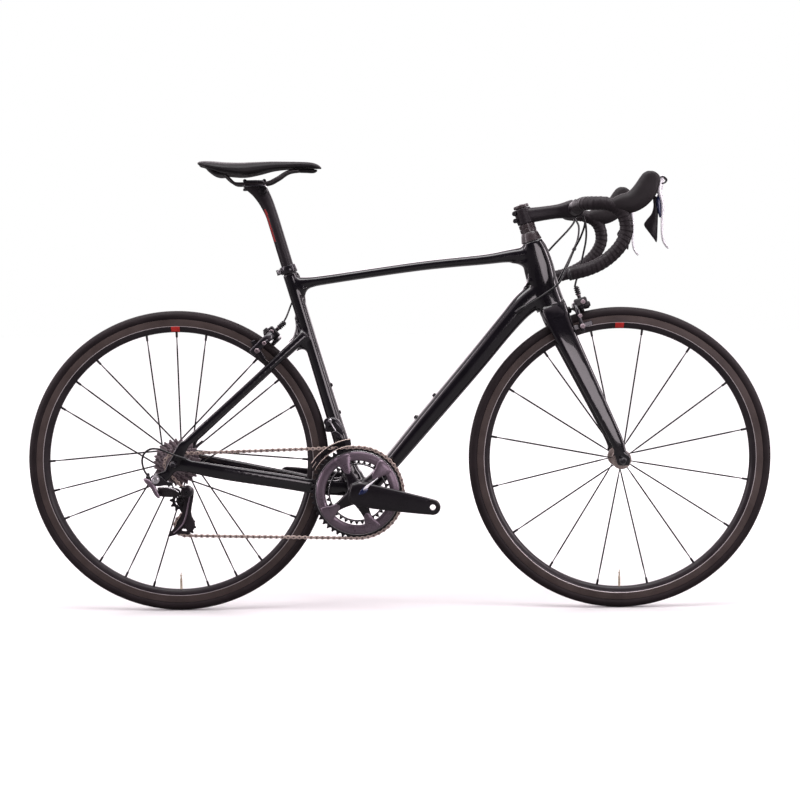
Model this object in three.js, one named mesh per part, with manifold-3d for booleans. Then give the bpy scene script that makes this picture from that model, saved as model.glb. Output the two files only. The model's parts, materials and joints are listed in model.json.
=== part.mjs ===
// Road bicycle with rim brakes and a two-by-eleven drivetrain.
// Millimetres. +X is forward, +Y is the rider's left, +Z is up, the drive side is -Y.
// The origin is on the ground, midway between the wheel axles, in the bicycle's middle plane.
import * as THREE from 'three';
import { mergeVertices } from 'three/addons/utils/BufferGeometryUtils.js';
import Module from 'manifold-3d';

const wasm = await Module();
wasm.setup();

// ---------------------------------------------------------------- driving dimensions
const GAP = 0.35; // between pieces that touch on the real bicycle
const WHEEL_RADIUS = 336; // 700C rim with a 25 mm tyre
const WHEELBASE = 984;
const CHAINSTAY = 407;
const BB_DROP = 68.3;
const SEAT_ANGLE = 73.7;
const HEAD_ANGLE = 73;
const FORK_RAKE = 44;
const SEAT_TUBE_FOOT_X = -96; // where the seat tube's axis meets the height of the crank axle
const FRONT_OLD = 100; // width between the front dropouts
const REAR_OLD = 130;
const DROPOUT = 7; // thickness of a dropout
const TYRE_WIDTH = 25;
const RIM_INNER = 289;
const RIM_OUTER = 314;
const RIM_WIDTH = 23;
const CRANK_LENGTH = 168;
const CRANK_DROOP = 10.1; // degrees below level, of the drive-side arm at rest
const CRANK_Y = 72; // middle plane of the crank arms
const PITCH = 12.7; // chain
const RING_TEETH = [50, 34];
const RING_Y = [-46, -38.6];
const COG_TEETH = [11, 12, 13, 14, 15, 16, 17, 19, 21, 23, 25];
const COG_Y = -59.5; // the smallest cog
const COG_STEP = 3.7;
const PULLEY_TEETH = 11;
const CHAIN_WIDTH = 5;
const CHAIN_HEIGHT = 8;
const SEATPOST_RADIUS = 13.6;
const STEERER_RADIUS = 14.3;
const HEAD_BORE = 17;
const BAR_HALF_WIDTH = 207;
const BAR_RADIUS = 14.6; // with the tape on
const CLAMP_RADIUS = 15.9; // the bar at the stem
const HOUSING_RADIUS = 2.5; // outer cable
const RAIL_RADIUS = 3.5;
const RAIL_Y = 22;
const SADDLE_SLIDE = 10; // fore and aft along the rails
const LEVER_PULL = 14; // degrees, of a brake lever

// ---------------------------------------------------------------- derived places
const rad = THREE.MathUtils.degToRad;
const V = (x, y, z) => new THREE.Vector3(x, y, z);
const rearAxle = V(-WHEELBASE / 2, 0, WHEEL_RADIUS);
const frontAxle = V(WHEELBASE / 2, 0, WHEEL_RADIUS);
const bottomBracket = V(
  rearAxle.x + Math.sqrt(CHAINSTAY ** 2 - BB_DROP ** 2), 0, WHEEL_RADIUS - BB_DROP);
const seatUp = V(-Math.cos(rad(SEAT_ANGLE)), 0, Math.sin(rad(SEAT_ANGLE)));
const steerUp = V(-Math.cos(rad(HEAD_ANGLE)), 0, Math.sin(rad(HEAD_ANGLE)));
const steerFore = V(steerUp.z, 0, -steerUp.x);
const steerFoot = frontAxle.clone().addScaledVector(steerFore, -FORK_RAKE);
// A place by its distance up the steering axis and forward of it.
const steer = (up, fore = 0, y = 0) =>
  steerFoot.clone().addScaledVector(steerUp, up).addScaledVector(steerFore, fore).setY(y);
const seatX = (z) => SEAT_TUBE_FOOT_X + (seatUp.x / seatUp.z) * (z - bottomBracket.z);
const pitchRadius = (teeth) => PITCH / (2 * Math.sin(Math.PI / teeth));

const bike = new THREE.Group();
const carbon = { color: 0x0d0d12, roughness: 0.15, metalness: 0.0 };
const satin = { color: 0x1b1a1e, roughness: 0.45, metalness: 0.0 };
const rubber = { color: 0x1a1819, roughness: 0.85, metalness: 0.0 };
const silver = { color: 0xb9b6b8, roughness: 0.25, metalness: 1.0 };
const darkMetal = { color: 0x2b2a31, roughness: 0.3, metalness: 0.9 };
const champagne = { color: 0xc9a891, roughness: 0.35, metalness: 1.0 };

// ---------------------------------------------------------------- building helpers
function toSolid(geometry) {
  const bare = geometry.clone();
  bare.deleteAttribute('normal');
  bare.deleteAttribute('uv');
  const merged = mergeVertices(bare, 1e-4);
  const place = merged.attributes.position;
  const corner = [V(), V(), V()];
  const tris = [];
  let volume = 0;
  for (let i = 0; i < merged.index.count; i += 3) {
    const ids = [0, 1, 2].map((k) => merged.index.getX(i + k));
    if (new Set(ids).size < 3) continue;
    ids.forEach((id, k) => corner[k].fromBufferAttribute(place, id));
    volume += corner[0].dot(corner[1].clone().cross(corner[2]));
    tris.push(ids);
  }
  if (volume < 0) tris.forEach((ids) => ids.reverse());
  return new wasm.Manifold(new wasm.Mesh({
    numProp: 3,
    vertProperties: new Float32Array(place.array),
    triVerts: new Uint32Array(tris.flat()),
  }));
}

function toGeometry(solid) {
  const mesh = solid.getMesh();
  const geometry = new THREE.BufferGeometry();
  geometry.setAttribute('position', new THREE.BufferAttribute(mesh.vertProperties, 3));
  geometry.setIndex(new THREE.BufferAttribute(mesh.triVerts, 1));
  geometry.computeVertexNormals();
  return geometry;
}

const join = (...solids) => solids.reduce((all, one) => all.add(one));
const cut = (solid, ...tools) => tools.reduce((rest, tool) => rest.subtract(tool), solid);

function part(name, solid, finish, group = bike) {
  const mesh = new THREE.Mesh(toGeometry(solid), new THREE.MeshStandardMaterial(finish));
  mesh.name = name;
  group.add(mesh);
}

// A closed skin through superellipse sections. Each row gives the section's centre, its depth in
// the bicycle's side view, its width across, and how square it is (2 is an ellipse).
function loft(rows, sides = 12, grow = 0, level = false) {
  const last = rows.length - 1;
  const geometry = new THREE.CylinderGeometry(1, 1, 1, sides, last);
  const place = geometry.attributes.position;
  const frames = rows.map((row, i) => {
    const from = rows[Math.max(i - 1, 0)];
    const to = rows[Math.min(i + 1, last)];
    const run = level ? V(0, 0, 1) : V(to.x - from.x, 0, to.z - from.z).normalize();
    return { centre: V(row.x, row.y ?? 0, row.z), up: V(-run.z, 0, run.x), run };
  });
  for (let k = 0; k < place.count; k++) {
    const i = Math.round((0.5 - place.getY(k)) * last);
    const row = rows[i];
    const reach = Math.hypot(place.getX(k), place.getZ(k));
    const turn = Math.atan2(place.getZ(k), place.getX(k));
    const power = 2 / (row.square ?? 2.3);
    const bend = (value) => (Math.abs(value) < 1e-6 ? 0 : Math.sign(value) * Math.abs(value) ** power);
    const high = reach * bend(Math.cos(turn)) * (row.depth / 2 + grow);
    const wide = reach * bend(Math.sin(turn)) * (row.width / 2 + grow);
    const p = frames[i].centre.clone().addScaledVector(frames[i].up, high);
    if (grow && (i === 0 || i === last)) p.addScaledVector(frames[i].run, i ? grow : -grow);
    place.setXYZ(k, p.x, p.y + wide, p.z);
  }
  return toSolid(geometry);
}

// A flat plate whose outline is drawn in the side view, from yLow to yHigh.
function plate(outline, yLow, yHigh, holes = []) {
  const shape = new THREE.Shape(outline.map(([x, z]) => new THREE.Vector2(x, z)));
  shape.holes = holes.map((hole) => new THREE.Path(hole.map(([x, z]) => new THREE.Vector2(x, z))));
  const geometry = new THREE.ExtrudeGeometry(shape, { depth: yHigh - yLow, bevelEnabled: false });
  return toSolid(geometry.rotateX(Math.PI / 2).translate(0, yHigh, 0));
}

// A solid of revolution about a line along Y through (x, z). The profile lists [radius, y].
function turned(profile, x, z, segments = 16) {
  const points = profile.map(([r, y]) => new THREE.Vector2(r, y));
  return toSolid(new THREE.LatheGeometry(points, segments).translate(x, 0, z));
}

// A ring of revolution about Y: a rectangle from inner to outer radius.
const ring = (inner, outer, yLow, yHigh, x, z, segments = 16) => turned(
  [[inner, yLow], [outer, yLow], [outer, yHigh], [inner, yHigh], [inner, yLow]],
  x, z, segments);
const disc = (radius, yLow, yHigh, x, z, segments = 16) =>
  turned([[0, yLow], [radius, yLow], [radius, yHigh], [0, yHigh]], x, z, segments);

// A round rod between two places.
function rod(from, to, radius, segments = 10) {
  const run = to.clone().sub(from);
  const geometry = new THREE.CylinderGeometry(radius, radius, run.length(), segments);
  geometry.applyQuaternion(new THREE.Quaternion().setFromUnitVectors(V(0, 1, 0), run.clone().normalize()));
  return toSolid(geometry.translate(...from.clone().add(to).multiplyScalar(0.5).toArray()));
}

// A tube swept along a smooth curve through the points.
function sweep(points, radius, sides = 8, steps = points.length * 3) {
  const curve = new THREE.CatmullRomCurve3(points, false, 'centripetal');
  const section = new THREE.Shape();
  for (let k = 0; k < sides; k++) {
    const turn = ((k + 0.5) / sides) * 2 * Math.PI;
    const corner = [radius * Math.cos(turn), radius * Math.sin(turn)];
    if (k) section.lineTo(...corner);
    else section.moveTo(...corner);
  }
  return toSolid(new THREE.ExtrudeGeometry(section, { extrudePath: curve, steps, bevelEnabled: false }));
}

// A box with one axis along the given direction (in the side view).
function block(centre, size, direction = V(1, 0, 0)) {
  const geometry = new THREE.BoxGeometry(...size);
  const across = V(0, 1, 0);
  const up = direction.clone().cross(across);
  geometry.applyMatrix4(new THREE.Matrix4().makeBasis(direction, across, up));
  return toSolid(geometry.translate(...centre.toArray()));
}

const arc = (cx, cz, r, from, to, steps) => Array.from({ length: steps + 1 }, (_, i) => {
  const turn = rad(from + ((to - from) * i) / steps);
  return [cx + r * Math.cos(turn), cz + r * Math.sin(turn)];
});

// ---------------------------------------------------------------- frame
const headRow = (z, fore, aft, width) => {
  const at = steer((z - steerFoot.z) / steerUp.z, (fore - aft) / 2);
  return { x: at.x, z: at.z, depth: fore + aft, width, square: 2.4 };
};
const headRows = [
  headRow(676, 31, 34, 56), headRow(700, 29, 36, 52), headRow(730, 29, 37, 46),
  headRow(765, 31, 35, 44), headRow(798, 29, 30, 46), headRow(818, 23, 23, 46),
];
const headBore = rod(steer(330), steer(560), HEAD_BORE, 16);
part('head_tube', cut(loft(headRows, 14), headBore), carbon);
const headKeepOut = join(loft(headRows, 14, GAP), headBore);

const seatRow = (z, depth, width) => ({ x: seatX(z), z, depth, width, square: 2.4 });
const seatRows = [
  seatRow(262, 40, 40), seatRow(300, 36, 36), seatRow(360, 30, 34), seatRow(560, 30, 33),
  seatRow(700, 31, 33), seatRow(752, 32, 33),
];
const shell = (grow) => disc(24 + grow, -34 - grow, 34 + grow, bottomBracket.x, bottomBracket.z, 16);
const postBore = rod(V(seatX(490), 0, 490), V(seatX(800), 0, 800), SEATPOST_RADIUS + GAP, 16);
const shellBore = disc(18.3, -60, 60, bottomBracket.x, bottomBracket.z, 16);
const seatBosses = [439, 500].map((z) => {
  const foot = V(seatX(z) + 13, 0, z);
  const out = V(seatUp.z, 0, -seatUp.x);
  return rod(foot, foot.clone().addScaledVector(out, 5.5), 5.5, 8);
});
part('seat_tube', cut(join(loft(seatRows), shell(0), ...seatBosses), postBore, shellBore), carbon);
const seatKeepOut = join(loft(seatRows, 12, GAP), shell(GAP));

const topRows = [
  { x: -232, z: 727, depth: 42, width: 28 }, { x: -205, z: 731, depth: 27, width: 32 },
  { x: -150, z: 739, depth: 21, width: 35 }, { x: 50, z: 766, depth: 21, width: 37 },
  { x: 190, z: 782, depth: 26, width: 38 }, { x: 250, z: 783, depth: 38, width: 38 },
  { x: 315, z: 784, depth: 60, width: 38 },
];
part('top_tube', cut(loft(topRows), headKeepOut, seatKeepOut), carbon);

const downRows = [
  { x: -96, z: 252, depth: 46, width: 52 }, { x: -40, z: 304, depth: 37, width: 50 },
  { x: 60, z: 421, depth: 42, width: 48 }, { x: 165, z: 544, depth: 46, width: 48 },
  { x: 245, z: 640, depth: 48, width: 48 }, { x: 285, z: 690, depth: 66, width: 46 },
  { x: 335, z: 732, depth: 92, width: 40 },
];
const downAlong = V(0.652, 0, 0.758);
const downOut = V(-downAlong.z, 0, downAlong.x);
const downBosses = [V(55, 0, 417), V(96.7, 0, 465.5)].map((foot) =>
  rod(foot.clone().addScaledVector(downOut, 10), foot.clone().addScaledVector(downOut, 25.5), 5.5, 8));
part('down_tube', cut(join(loft(downRows), ...downBosses), headKeepOut, seatKeepOut,
  loft(topRows, 12, GAP)), carbon);

// The stays. The right ones are on the drive side, and the right seatstay carries the brake bridge.
const stayUp = V(0.7405, 0, 0.6724);
const stayBack = V(-stayUp.z, 0, stayUp.x);
const bridgeAt = V(-248.3, 0, 577.8); // where the brake bolt leaves the stays
const rearBrakePivot = bridgeAt.clone().addScaledVector(stayBack, 40);
const bridge = (grow) => block(bridgeAt.clone().addScaledVector(stayUp, 4.5),
  [14 + 2 * grow, 44 + 2 * grow, 11 + 2 * grow], stayUp);
function dropout(sign, faceY) {
  const [low, high] = [faceY, faceY + DROPOUT];
  const outline = [[-515, 322], [-511, 299], [-497, 297], [-488, 306], [-472, 309], [-452, 318], [-452, 345],
    [-470, 352], [-458, 378], [-478, 392], [-503, 350]];
  const solid = plate(outline, Math.min(sign * low, sign * high), Math.max(sign * low, sign * high));
  const slot = disc(5.2, -90, 90, rearAxle.x, rearAxle.z, 12);
  const mouth = block(V(-488.5, 0, 318), [40, 180, 10.4], V(Math.cos(rad(-79)), 0, Math.sin(rad(-79))));
  return cut(solid, slot, mouth);
}
for (const [side, sign] of [['right', -1], ['left', 1]]) {
  const chainstayRows = [
    { x: -98, z: 274, y: sign * 25, depth: 34, width: 15 },
    { x: -150, z: 277, y: sign * 26.5, depth: 34, width: 14 },
    { x: -195, z: 281.5, y: sign * 28, depth: 33, width: 15 },
    { x: -260, z: 294, y: sign * 39, depth: 33, width: 16 },
    { x: -380, z: 316, y: sign * 60, depth: 33, width: 15 },
    { x: -450, z: 329, y: sign * 69, depth: 31, width: 11 },
    { x: -468, z: 332, y: sign * 69, depth: 24, width: 8 },
  ];
  const chainstay = loft(chainstayRows);
  const axleTab = dropout(sign, REAR_OLD / 2);
  part(`chainstay_${side}`, cut(join(chainstay, axleTab), seatKeepOut, loft(downRows, 12, GAP)), carbon);
  const seatstayRows = [
    { x: -466, z: 381, y: sign * 68.5, depth: 17, width: 9 },
    { x: -440, z: 404, y: sign * 64, depth: 18, width: 12 },
    { x: -340, z: 494, y: sign * 44, depth: 18, width: 13 },
    { x: -255, z: 571, y: sign * 26, depth: 20, width: 14 },
    { x: -203, z: 618, y: sign * 12, depth: 24, width: 18 },
  ];
  const keepOut = [seatKeepOut, loft(chainstayRows, 12, GAP), dropout(sign, REAR_OLD / 2)];
  const tabSpace = plate([[-530, 280], [-440, 280], [-440, 372], [-458, 390], [-486, 398], [-530, 380]],
    sign > 0 ? 55 : -80, sign > 0 ? 80 : -55);
  let stay = loft(seatstayRows);
  if (side === 'right') {
    const bolt = rod(bridgeAt, rearBrakePivot.clone().addScaledVector(stayBack, 12), 3, 10);
    stay = join(stay, bridge(0), bolt);
  } else {
    keepOut.push(bridge(GAP));
  }
  keepOut.push(tabSpace);
  if (side === 'left') keepOut.push(plate([[-300, 500], [-150, 500], [-150, 700], [-300, 700]], -40, GAP / 2));
  else keepOut.push(plate([[-238, 585], [-150, 585], [-150, 700], [-238, 700]], -GAP / 2, 40));
  part(`seatstay_${side}`, cut(stay, ...keepOut), carbon);
}

// Bottom bracket: one sleeve with a cup at each end, open for the crank axle.
const cup = 21.5;
part('bottom_bracket', turned([[12.8, -44], [cup, -44], [cup, -34.7], [17.9, -34.7], [17.9, 34.7],
  [cup, 34.7], [cup, 44], [12.8, 44], [12.8, -44]], bottomBracket.x, bottomBracket.z, 16), darkMetal);

// Seat clamp: a collar round the post above the seat tube, with its bolt boss behind.
const collarLow = V(seatX(753.5), 0, 753.5);
const collarHigh = V(seatX(769), 0, 769);
const collarBoss = block(V(seatX(761) - 19, 0, 761), [12, 15, 10], V(seatUp.z, 0, -seatUp.x));
part('seat_clamp', cut(join(rod(collarLow, collarHigh, 18.5, 20), collarBoss), postBore), darkMetal);

// ---------------------------------------------------------------- seatpost and saddle
const postTop = 942.5;
const postRow = (z, back, fore) => ({
  x: seatX(z) + (fore - back) / 2, z, depth: fore + back, width: 2 * SEATPOST_RADIUS, square: 2,
});
const postRound = SEATPOST_RADIUS / seatUp.z;
const postRows = [
  ...[600, 780, 870].map((z) => postRow(z, postRound, postRound)),
  postRow(890, 17, 14), postRow(908, 21, 13.5), postRow(924, 28, 12), postRow(935, 38, 10),
  postRow(postTop, 43, 8),
];
part('seatpost', loft(postRows, 16, 0, true), satin);

const railPoints = [
  V(-392, 30, 974), V(-376, 27, 966), V(-356, RAIL_Y, 950), V(-330, RAIL_Y, 949), V(-275, RAIL_Y, 949.5),
  V(-245, 18, 962), V(-215, 12, 974), V(-193, 7, 976), V(-188, 0, 976.5),
];
const railPath = [...railPoints, ...railPoints.slice(0, -1).reverse().map((p) => V(p.x, -p.y, p.z))];
const rails = (grow) => sweep(railPath, RAIL_RADIUS + grow, 6, 32);
part('saddle_rails', rails(0), satin);

const clampBlock = join(
  block(V(-312, 0, 949.3), [42, 54, 12.8]), block(V(-338, 0, 952.5), [10, 16, 6]));
const railSpace = [-SADDLE_SLIDE, 0, SADDLE_SLIDE].map((shift) => rails(GAP).translate([shift, 0, 0]));
part('seatpost_clamp', cut(clampBlock, ...railSpace), darkMetal);

const saddleRows = [
  [-441, 990.5, 70, 6], [-432, 988, 104, 14], [-412, 984, 130, 24], [-380, 978, 134, 28],
  [-345, 975.5, 116, 29], [-315, 979, 88, 28], [-275, 984.5, 58, 21], [-225, 986, 42, 16],
  [-188, 984.5, 36, 14], [-172, 981.5, 26, 8],
].map(([x, z, width, depth]) => ({ x, z, width, depth, square: 2.6 }));
part('saddle', cut(loft(saddleRows, 16), rails(GAP)), satin);

// ---------------------------------------------------------------- fork and cockpit
const crown = loft([
  { ...steer(364.5, 0), depth: 62, width: 56 }, { ...steer(352, 0), depth: 62, width: 66 },
  { ...steer(342, 0), depth: 58, width: 74 },
].map((row) => ({ ...row, y: 0, square: 2.6 })), 16);
const bladeRows = (sign) => [
  { x: 352, z: 654, y: sign * 26, depth: 58, width: 20 },
  { x: 360, z: 636, y: sign * 31, depth: 53, width: 19 },
  { x: 371, z: 606, y: sign * 36.5, depth: 47, width: 18 },
  { x: 400, z: 545, y: sign * 42, depth: 42, width: 17 },
  { x: 443, z: 456, y: sign * 48.5, depth: 34, width: 14 },
  { x: 479, z: 380, y: sign * 53, depth: 29, width: 11 },
  { x: 488, z: 352, y: sign * 54, depth: 26, width: 8 },
];
const forkTip = (sign) => {
  const outline = [[474, 352], [478, 338], [484, 324], [500, 324], [506, 336], [503, 352]];
  const y = FRONT_OLD / 2;
  const tip = plate(outline, sign > 0 ? y : -y - DROPOUT, sign > 0 ? y + DROPOUT : -y);
  return cut(tip, disc(4.8, -80, 80, frontAxle.x, frontAxle.z, 12),
    block(V(frontAxle.x, 0, 326), [9.6, 160, 20]));
};
const frontBrakePivot = steer(348, 52);
const forkBolt = rod(steer(348, 20), steer(348, 64), 3, 10);
const frontHubSpace = ring(0.5, 30, -FRONT_OLD / 2, FRONT_OLD / 2, frontAxle.x, frontAxle.z, 16);
part('fork', cut(join(crown, loft(bladeRows(-1)), loft(bladeRows(1)), forkTip(-1), forkTip(1),
  rod(steer(350), steer(594), STEERER_RADIUS, 16), forkBolt), frontHubSpace), carbon);

const steerRing = (from, to, outer, inner) =>
  cut(rod(steer(from), steer(to), outer, 20), rod(steer(from - 5), steer(to + 5), inner, 20));
const spacerCone = new THREE.CylinderGeometry(18, 23.5, 20, 16).rotateX(Math.PI / 2);
const steerTurn = new THREE.Quaternion().setFromUnitVectors(V(0, 0, 1), steerUp);
const cone = toSolid(spacerCone.applyQuaternion(steerTurn).translate(...steer(529.2).toArray()));
part('headset_spacers', cut(join(cone, rod(steer(538), steer(557.4), 18, 16)),
  rod(steer(500), steer(600), STEERER_RADIUS + GAP, 16)), satin);

const stemClamp = steer(575.5);
const barClamp = V(392, 0, 888);
const stemAlong = barClamp.clone().sub(stemClamp).normalize();
const stemFrom = (distance) => stemClamp.clone().addScaledVector(stemAlong, distance);
const stemBody = join(
  rod(steer(557.9), steer(593), 18.6, 20),
  loft([[8, 33, 34], [45, 31, 32], [78, 32, 34], [104, 40, 44]].map(([d, depth, width]) =>
    ({ x: stemFrom(d).x, z: stemFrom(d).z, depth, width, square: 3 })), 12),
  block(stemFrom(-19), [12, 20, 26], steerFore));
const barHole = disc(CLAMP_RADIUS + GAP, -40, 40, barClamp.x, barClamp.z, 20);
const clampFace = (from, to) => block(stemFrom(from + (to - from) / 2), [to - from, 90, 80], stemAlong);
const stemReach = stemClamp.distanceTo(barClamp);
part('stem', cut(stemBody, barHole, clampFace(stemReach - 0.6, stemReach + 40),
  rod(steer(540), steer(610), STEERER_RADIUS + GAP, 20), rod(steer(520), steer(557.7), 32, 12)), satin);
const faceplate = disc(20.5, -22, 22, barClamp.x, barClamp.z, 20);
part('stem_faceplate', cut(faceplate, barHole, clampFace(stemReach - 40, stemReach + 0.6)), satin);

part('stem_top_cap', rod(steer(595.5), steer(601), 17, 20), satin);

const barSide = [
  V(392, 36, 888), V(392, 60, 888), V(392, 150, 888), V(397, 180, 888), V(414, 200, 887),
  V(438, BAR_HALF_WIDTH, 885), V(462, BAR_HALF_WIDTH, 874), V(475, BAR_HALF_WIDTH, 855),
  V(478, BAR_HALF_WIDTH, 828), V(469, BAR_HALF_WIDTH, 804), V(451, BAR_HALF_WIDTH, 782),
  V(426, BAR_HALF_WIDTH, 763), V(396, BAR_HALF_WIDTH, 750), V(362, BAR_HALF_WIDTH, 742),
];
const barPath = [...barSide.slice().reverse(), ...barSide.map((p) => V(p.x, -p.y, p.z))];
const bar = (grow) => sweep(barPath, BAR_RADIUS + grow, 8, 48);
part('handlebar', join(cut(bar(0), disc(CLAMP_RADIUS + 2, -33, 33, 392, 888, 20)),
  disc(CLAMP_RADIUS, -34, 34, 392, 888, 20)), rubber);

// ---------------------------------------------------------------- brake and shift levers
const leverPivot = V(548, 0, 938);
const leverOutline = [[548, 947], [556, 941], [553, 888], [552, 829], [562, 795], [559, 789], [551, 797],
  [542.5, 815], [541.5, 860], [544, 905], [548.5, 925]];
const paddleOutline = [[533, 893], [540.5, 893], [540, 806], [530, 822], [520, 845], [527, 858], [534, 868]];
for (const [side, sign] of [['right', -1], ['left', 1]]) {
  const y = sign * BAR_HALF_WIDTH;
  const paddleY = y - sign * 2;
  const hoodRows = [
    [452, 884, 24, 26], [468, 884, 40, 34], [488, 888, 42, 35], [508, 902, 43, 34],
    [523, 920, 41, 32], [531, 938, 27, 30], [533, 947, 12, 24],
  ].map(([x, z, depth, width]) => ({ x, z, y, depth, width, square: 2.4 }));
  // The hood is open in front where the levers come back into it.
  const inward = y - sign * 10;
  const paddleRoom = plate(paddleOutline, Math.min(inward, y), Math.max(inward, y));
  const room = join(plate(leverOutline, y - 5.4, y + 5.4), paddleRoom, paddleRoom.translate([0, 0, 1.5]));
  const slots = [3, 6, 9, 12, LEVER_PULL, LEVER_PULL + 2].map((turn) =>
    room.translate(leverPivot.clone().negate().toArray()).rotate([0, turn, 0])
      .translate(leverPivot.toArray()));
  part(`brake_hood_${side}`, cut(loft(hoodRows, 12), bar(GAP), ...slots), rubber);
  part(`brake_lever_${side}`, plate(leverOutline, y - 4.5, y + 4.5), silver);
  part(`shift_lever_${side}`, plate(paddleOutline, paddleY - 2, paddleY + 2), darkMetal);
}

// ---------------------------------------------------------------- wheels
// Everything on a wheel turns about Y through the wheel's own origin.
function wheel(end, axle, flanges, old, spokes) {
  const group = new THREE.Group();
  group.position.copy(axle);
  bike.add(group);
  const half = TYRE_WIDTH / 2;
  const rimHalf = RIM_WIDTH / 2;
  const tyreProfile = [[RIM_OUTER + GAP, -9.6], [322, -half], [331.5, -9.6], [336, -3.5],
    [336, 3.5], [331.5, 9.6], [322, half], [RIM_OUTER + GAP, 9.6], [RIM_OUTER + GAP, -9.6]];
  part(`${end}_tyre`, turned(tyreProfile, 0, 0, 40), rubber, group);
  part(`${end}_rim`, turned([[RIM_INNER, -5], [299, -rimHalf], [RIM_OUTER, -rimHalf],
    [RIM_OUTER, rimHalf], [299, rimHalf], [RIM_INNER, 5], [RIM_INNER, -5]],
  0, 0, 40), satin, group);

  const [right, left] = flanges;
  const hubShell = turned([[9.4, right.y - 2], [right.r + 3, right.y - 2], [right.r + 3, right.y + 2],
    [12.5, right.y + 8], [12.5, left.y - 8], [left.r + 3, left.y - 2], [left.r + 3, left.y + 2],
    [9.4, left.y + 2], [9.4, right.y - 2]], 0, 0, 14);
  const blades = spokes.map(({ rim, root, y }) => {
    const from = V(Math.cos(root.turn) * root.r, y, Math.sin(root.turn) * root.r);
    const to = V(Math.cos(rim), Math.sign(y) * 0.04, Math.sin(rim)).multiplyScalar(RIM_INNER - GAP);
    const run = to.clone().sub(from);
    const flat = new THREE.BoxGeometry(1.3, 2.6, run.length());
    const along = run.clone().normalize();
    const thin = V(0, 1, 0).addScaledVector(along, -along.y).normalize();
    flat.applyMatrix4(new THREE.Matrix4().makeBasis(thin, along.clone().cross(thin), along));
    return toSolid(flat.translate(...from.clone().add(to).multiplyScalar(0.5).toArray()));
  });
  part(`${end}_hub_and_spokes`, join(hubShell, ...blades), darkMetal, group);

  const tip = old / 2;
  const stub = tip + DROPOUT - 1.5;
  part(`${end}_hub_axle`, turned([[2.9, -stub], [4.4, -stub], [4.4, -tip + GAP], [8.6, -tip + GAP],
    [8.6, tip - GAP], [4.4, tip - GAP], [4.4, stub], [2.9, stub], [2.9, -stub]], 0, 0, 16), silver, group);

  // Quick-release skewer: nut on the drive side, cam head on the other.
  const outer = tip + DROPOUT + GAP;
  part(`${end}_skewer`, turned([[0, -outer - 12], [5, -outer - 12], [9, -outer - 4], [9, -outer], [2.5, -outer],
    [2.5, outer], [8.5, outer], [8.5, outer + 9], [0, outer + 9]], 0, 0, 16), silver, group);
  // The lever lies back along the wheel's plane when it is closed.
  const leverY = outer + 9 + GAP;
  const lie = end === 'front' ? V(steerUp.x, 0, steerUp.z) : V(stayUp.x, 0, stayUp.z);
  part(`${end}_qr_lever`, block(lie.clone().multiplyScalar(29).setY(leverY + 2.2), [57, 4.4, 11], lie),
    silver, group);
}

const frontSpokes = Array.from({ length: 16 }, (_, i) => {
  const turn = rad(12.5 + 22.5 * i);
  return { rim: turn, root: { turn, r: 21 }, y: i % 2 ? -35 : 35 };
});
wheel('front', frontAxle, [{ y: -35, r: 20 }, { y: 35, r: 20 }], FRONT_OLD, frontSpokes);

// Rear: seven groups of one radial spoke on the left and two tangent spokes on the drive side.
const crossing = 29.6; // distance of the tangent spokes from the hub's axis
const flangeRadius = 32;
const rearSpokes = Array.from({ length: 7 }, (_, i) => {
  const middle = rad(90) + (2 * Math.PI * i) / 7;
  const pair = [-1, 1].map((way) => {
    const rim = middle + way * rad(13.3);
    const turn = rim + way * (Math.asin(crossing / flangeRadius) - Math.asin(crossing / RIM_INNER));
    return { rim, root: { turn, r: flangeRadius }, y: -19 };
  });
  return [{ rim: middle, root: { turn: middle, r: 21 }, y: 37 }, ...pair];
}).flat();
wheel('rear', rearAxle, [{ y: -19, r: flangeRadius }, { y: 37, r: 20 }], REAR_OLD, rearSpokes);

// Cassette: stepped cogs on the freehub, the smallest one low enough to clear the chain.
const cassetteProfile = [];
COG_TEETH.forEach((teeth, i) => {
  const outer = pitchRadius(teeth) + (i > 1 ? 1.2 : -CHAIN_HEIGHT / 2 - GAP + i * 3);
  const low = COG_Y + COG_STEP * i + (i ? -0.3 : -1.6);
  const high = i === COG_TEETH.length - 1 ? low + 1.5 : COG_Y + COG_STEP * (i + 1) - 0.3;
  cassetteProfile.push([outer, low], [outer, high]);
});
const cassetteEnd = cassetteProfile[cassetteProfile.length - 1][1];
part('cassette', turned([[9.2, COG_Y - 1.6], ...cassetteProfile, [9.2, cassetteEnd], [9.2, COG_Y - 1.6]],
  rearAxle.x, rearAxle.z, 16), darkMetal);

// ---------------------------------------------------------------- crankset
const crankTurn = rad(-CRANK_DROOP);
function crankArm(sign) {
  const along = V(Math.cos(crankTurn), 0, Math.sin(crankTurn)).multiplyScalar(-sign);
  const at = (d) => bottomBracket.clone().addScaledVector(along, d);
  const rows = [[-6, 44, 16, 64], [30, 46, 15, 66.5], [90, 43, 13, 70.5], [150, 35, 12, CRANK_Y]].map(
    ([d, depth, width, y]) => ({ x: at(d).x, z: at(d).z, y: sign * y, depth, width, square: 3 }));
  const eye = at(CRANK_LENGTH);
  const face = [CRANK_Y - 6.5, CRANK_Y + 6.5].map((y) => sign * y).sort((a, b) => a - b);
  const arm = join(loft(rows, 12), disc(16.5, ...face, eye.x, eye.z, 16),
    loft([[140, 36], [166, 32]].map(([d, depth]) =>
      ({ x: at(d).x, z: at(d).z, y: sign * CRANK_Y, depth, width: 12.4, square: 6 })), 8));
  return cut(arm, disc(7, -100, 100, eye.x, eye.z, 12));
}
const { x: bx, z: bz } = bottomBracket;
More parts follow.
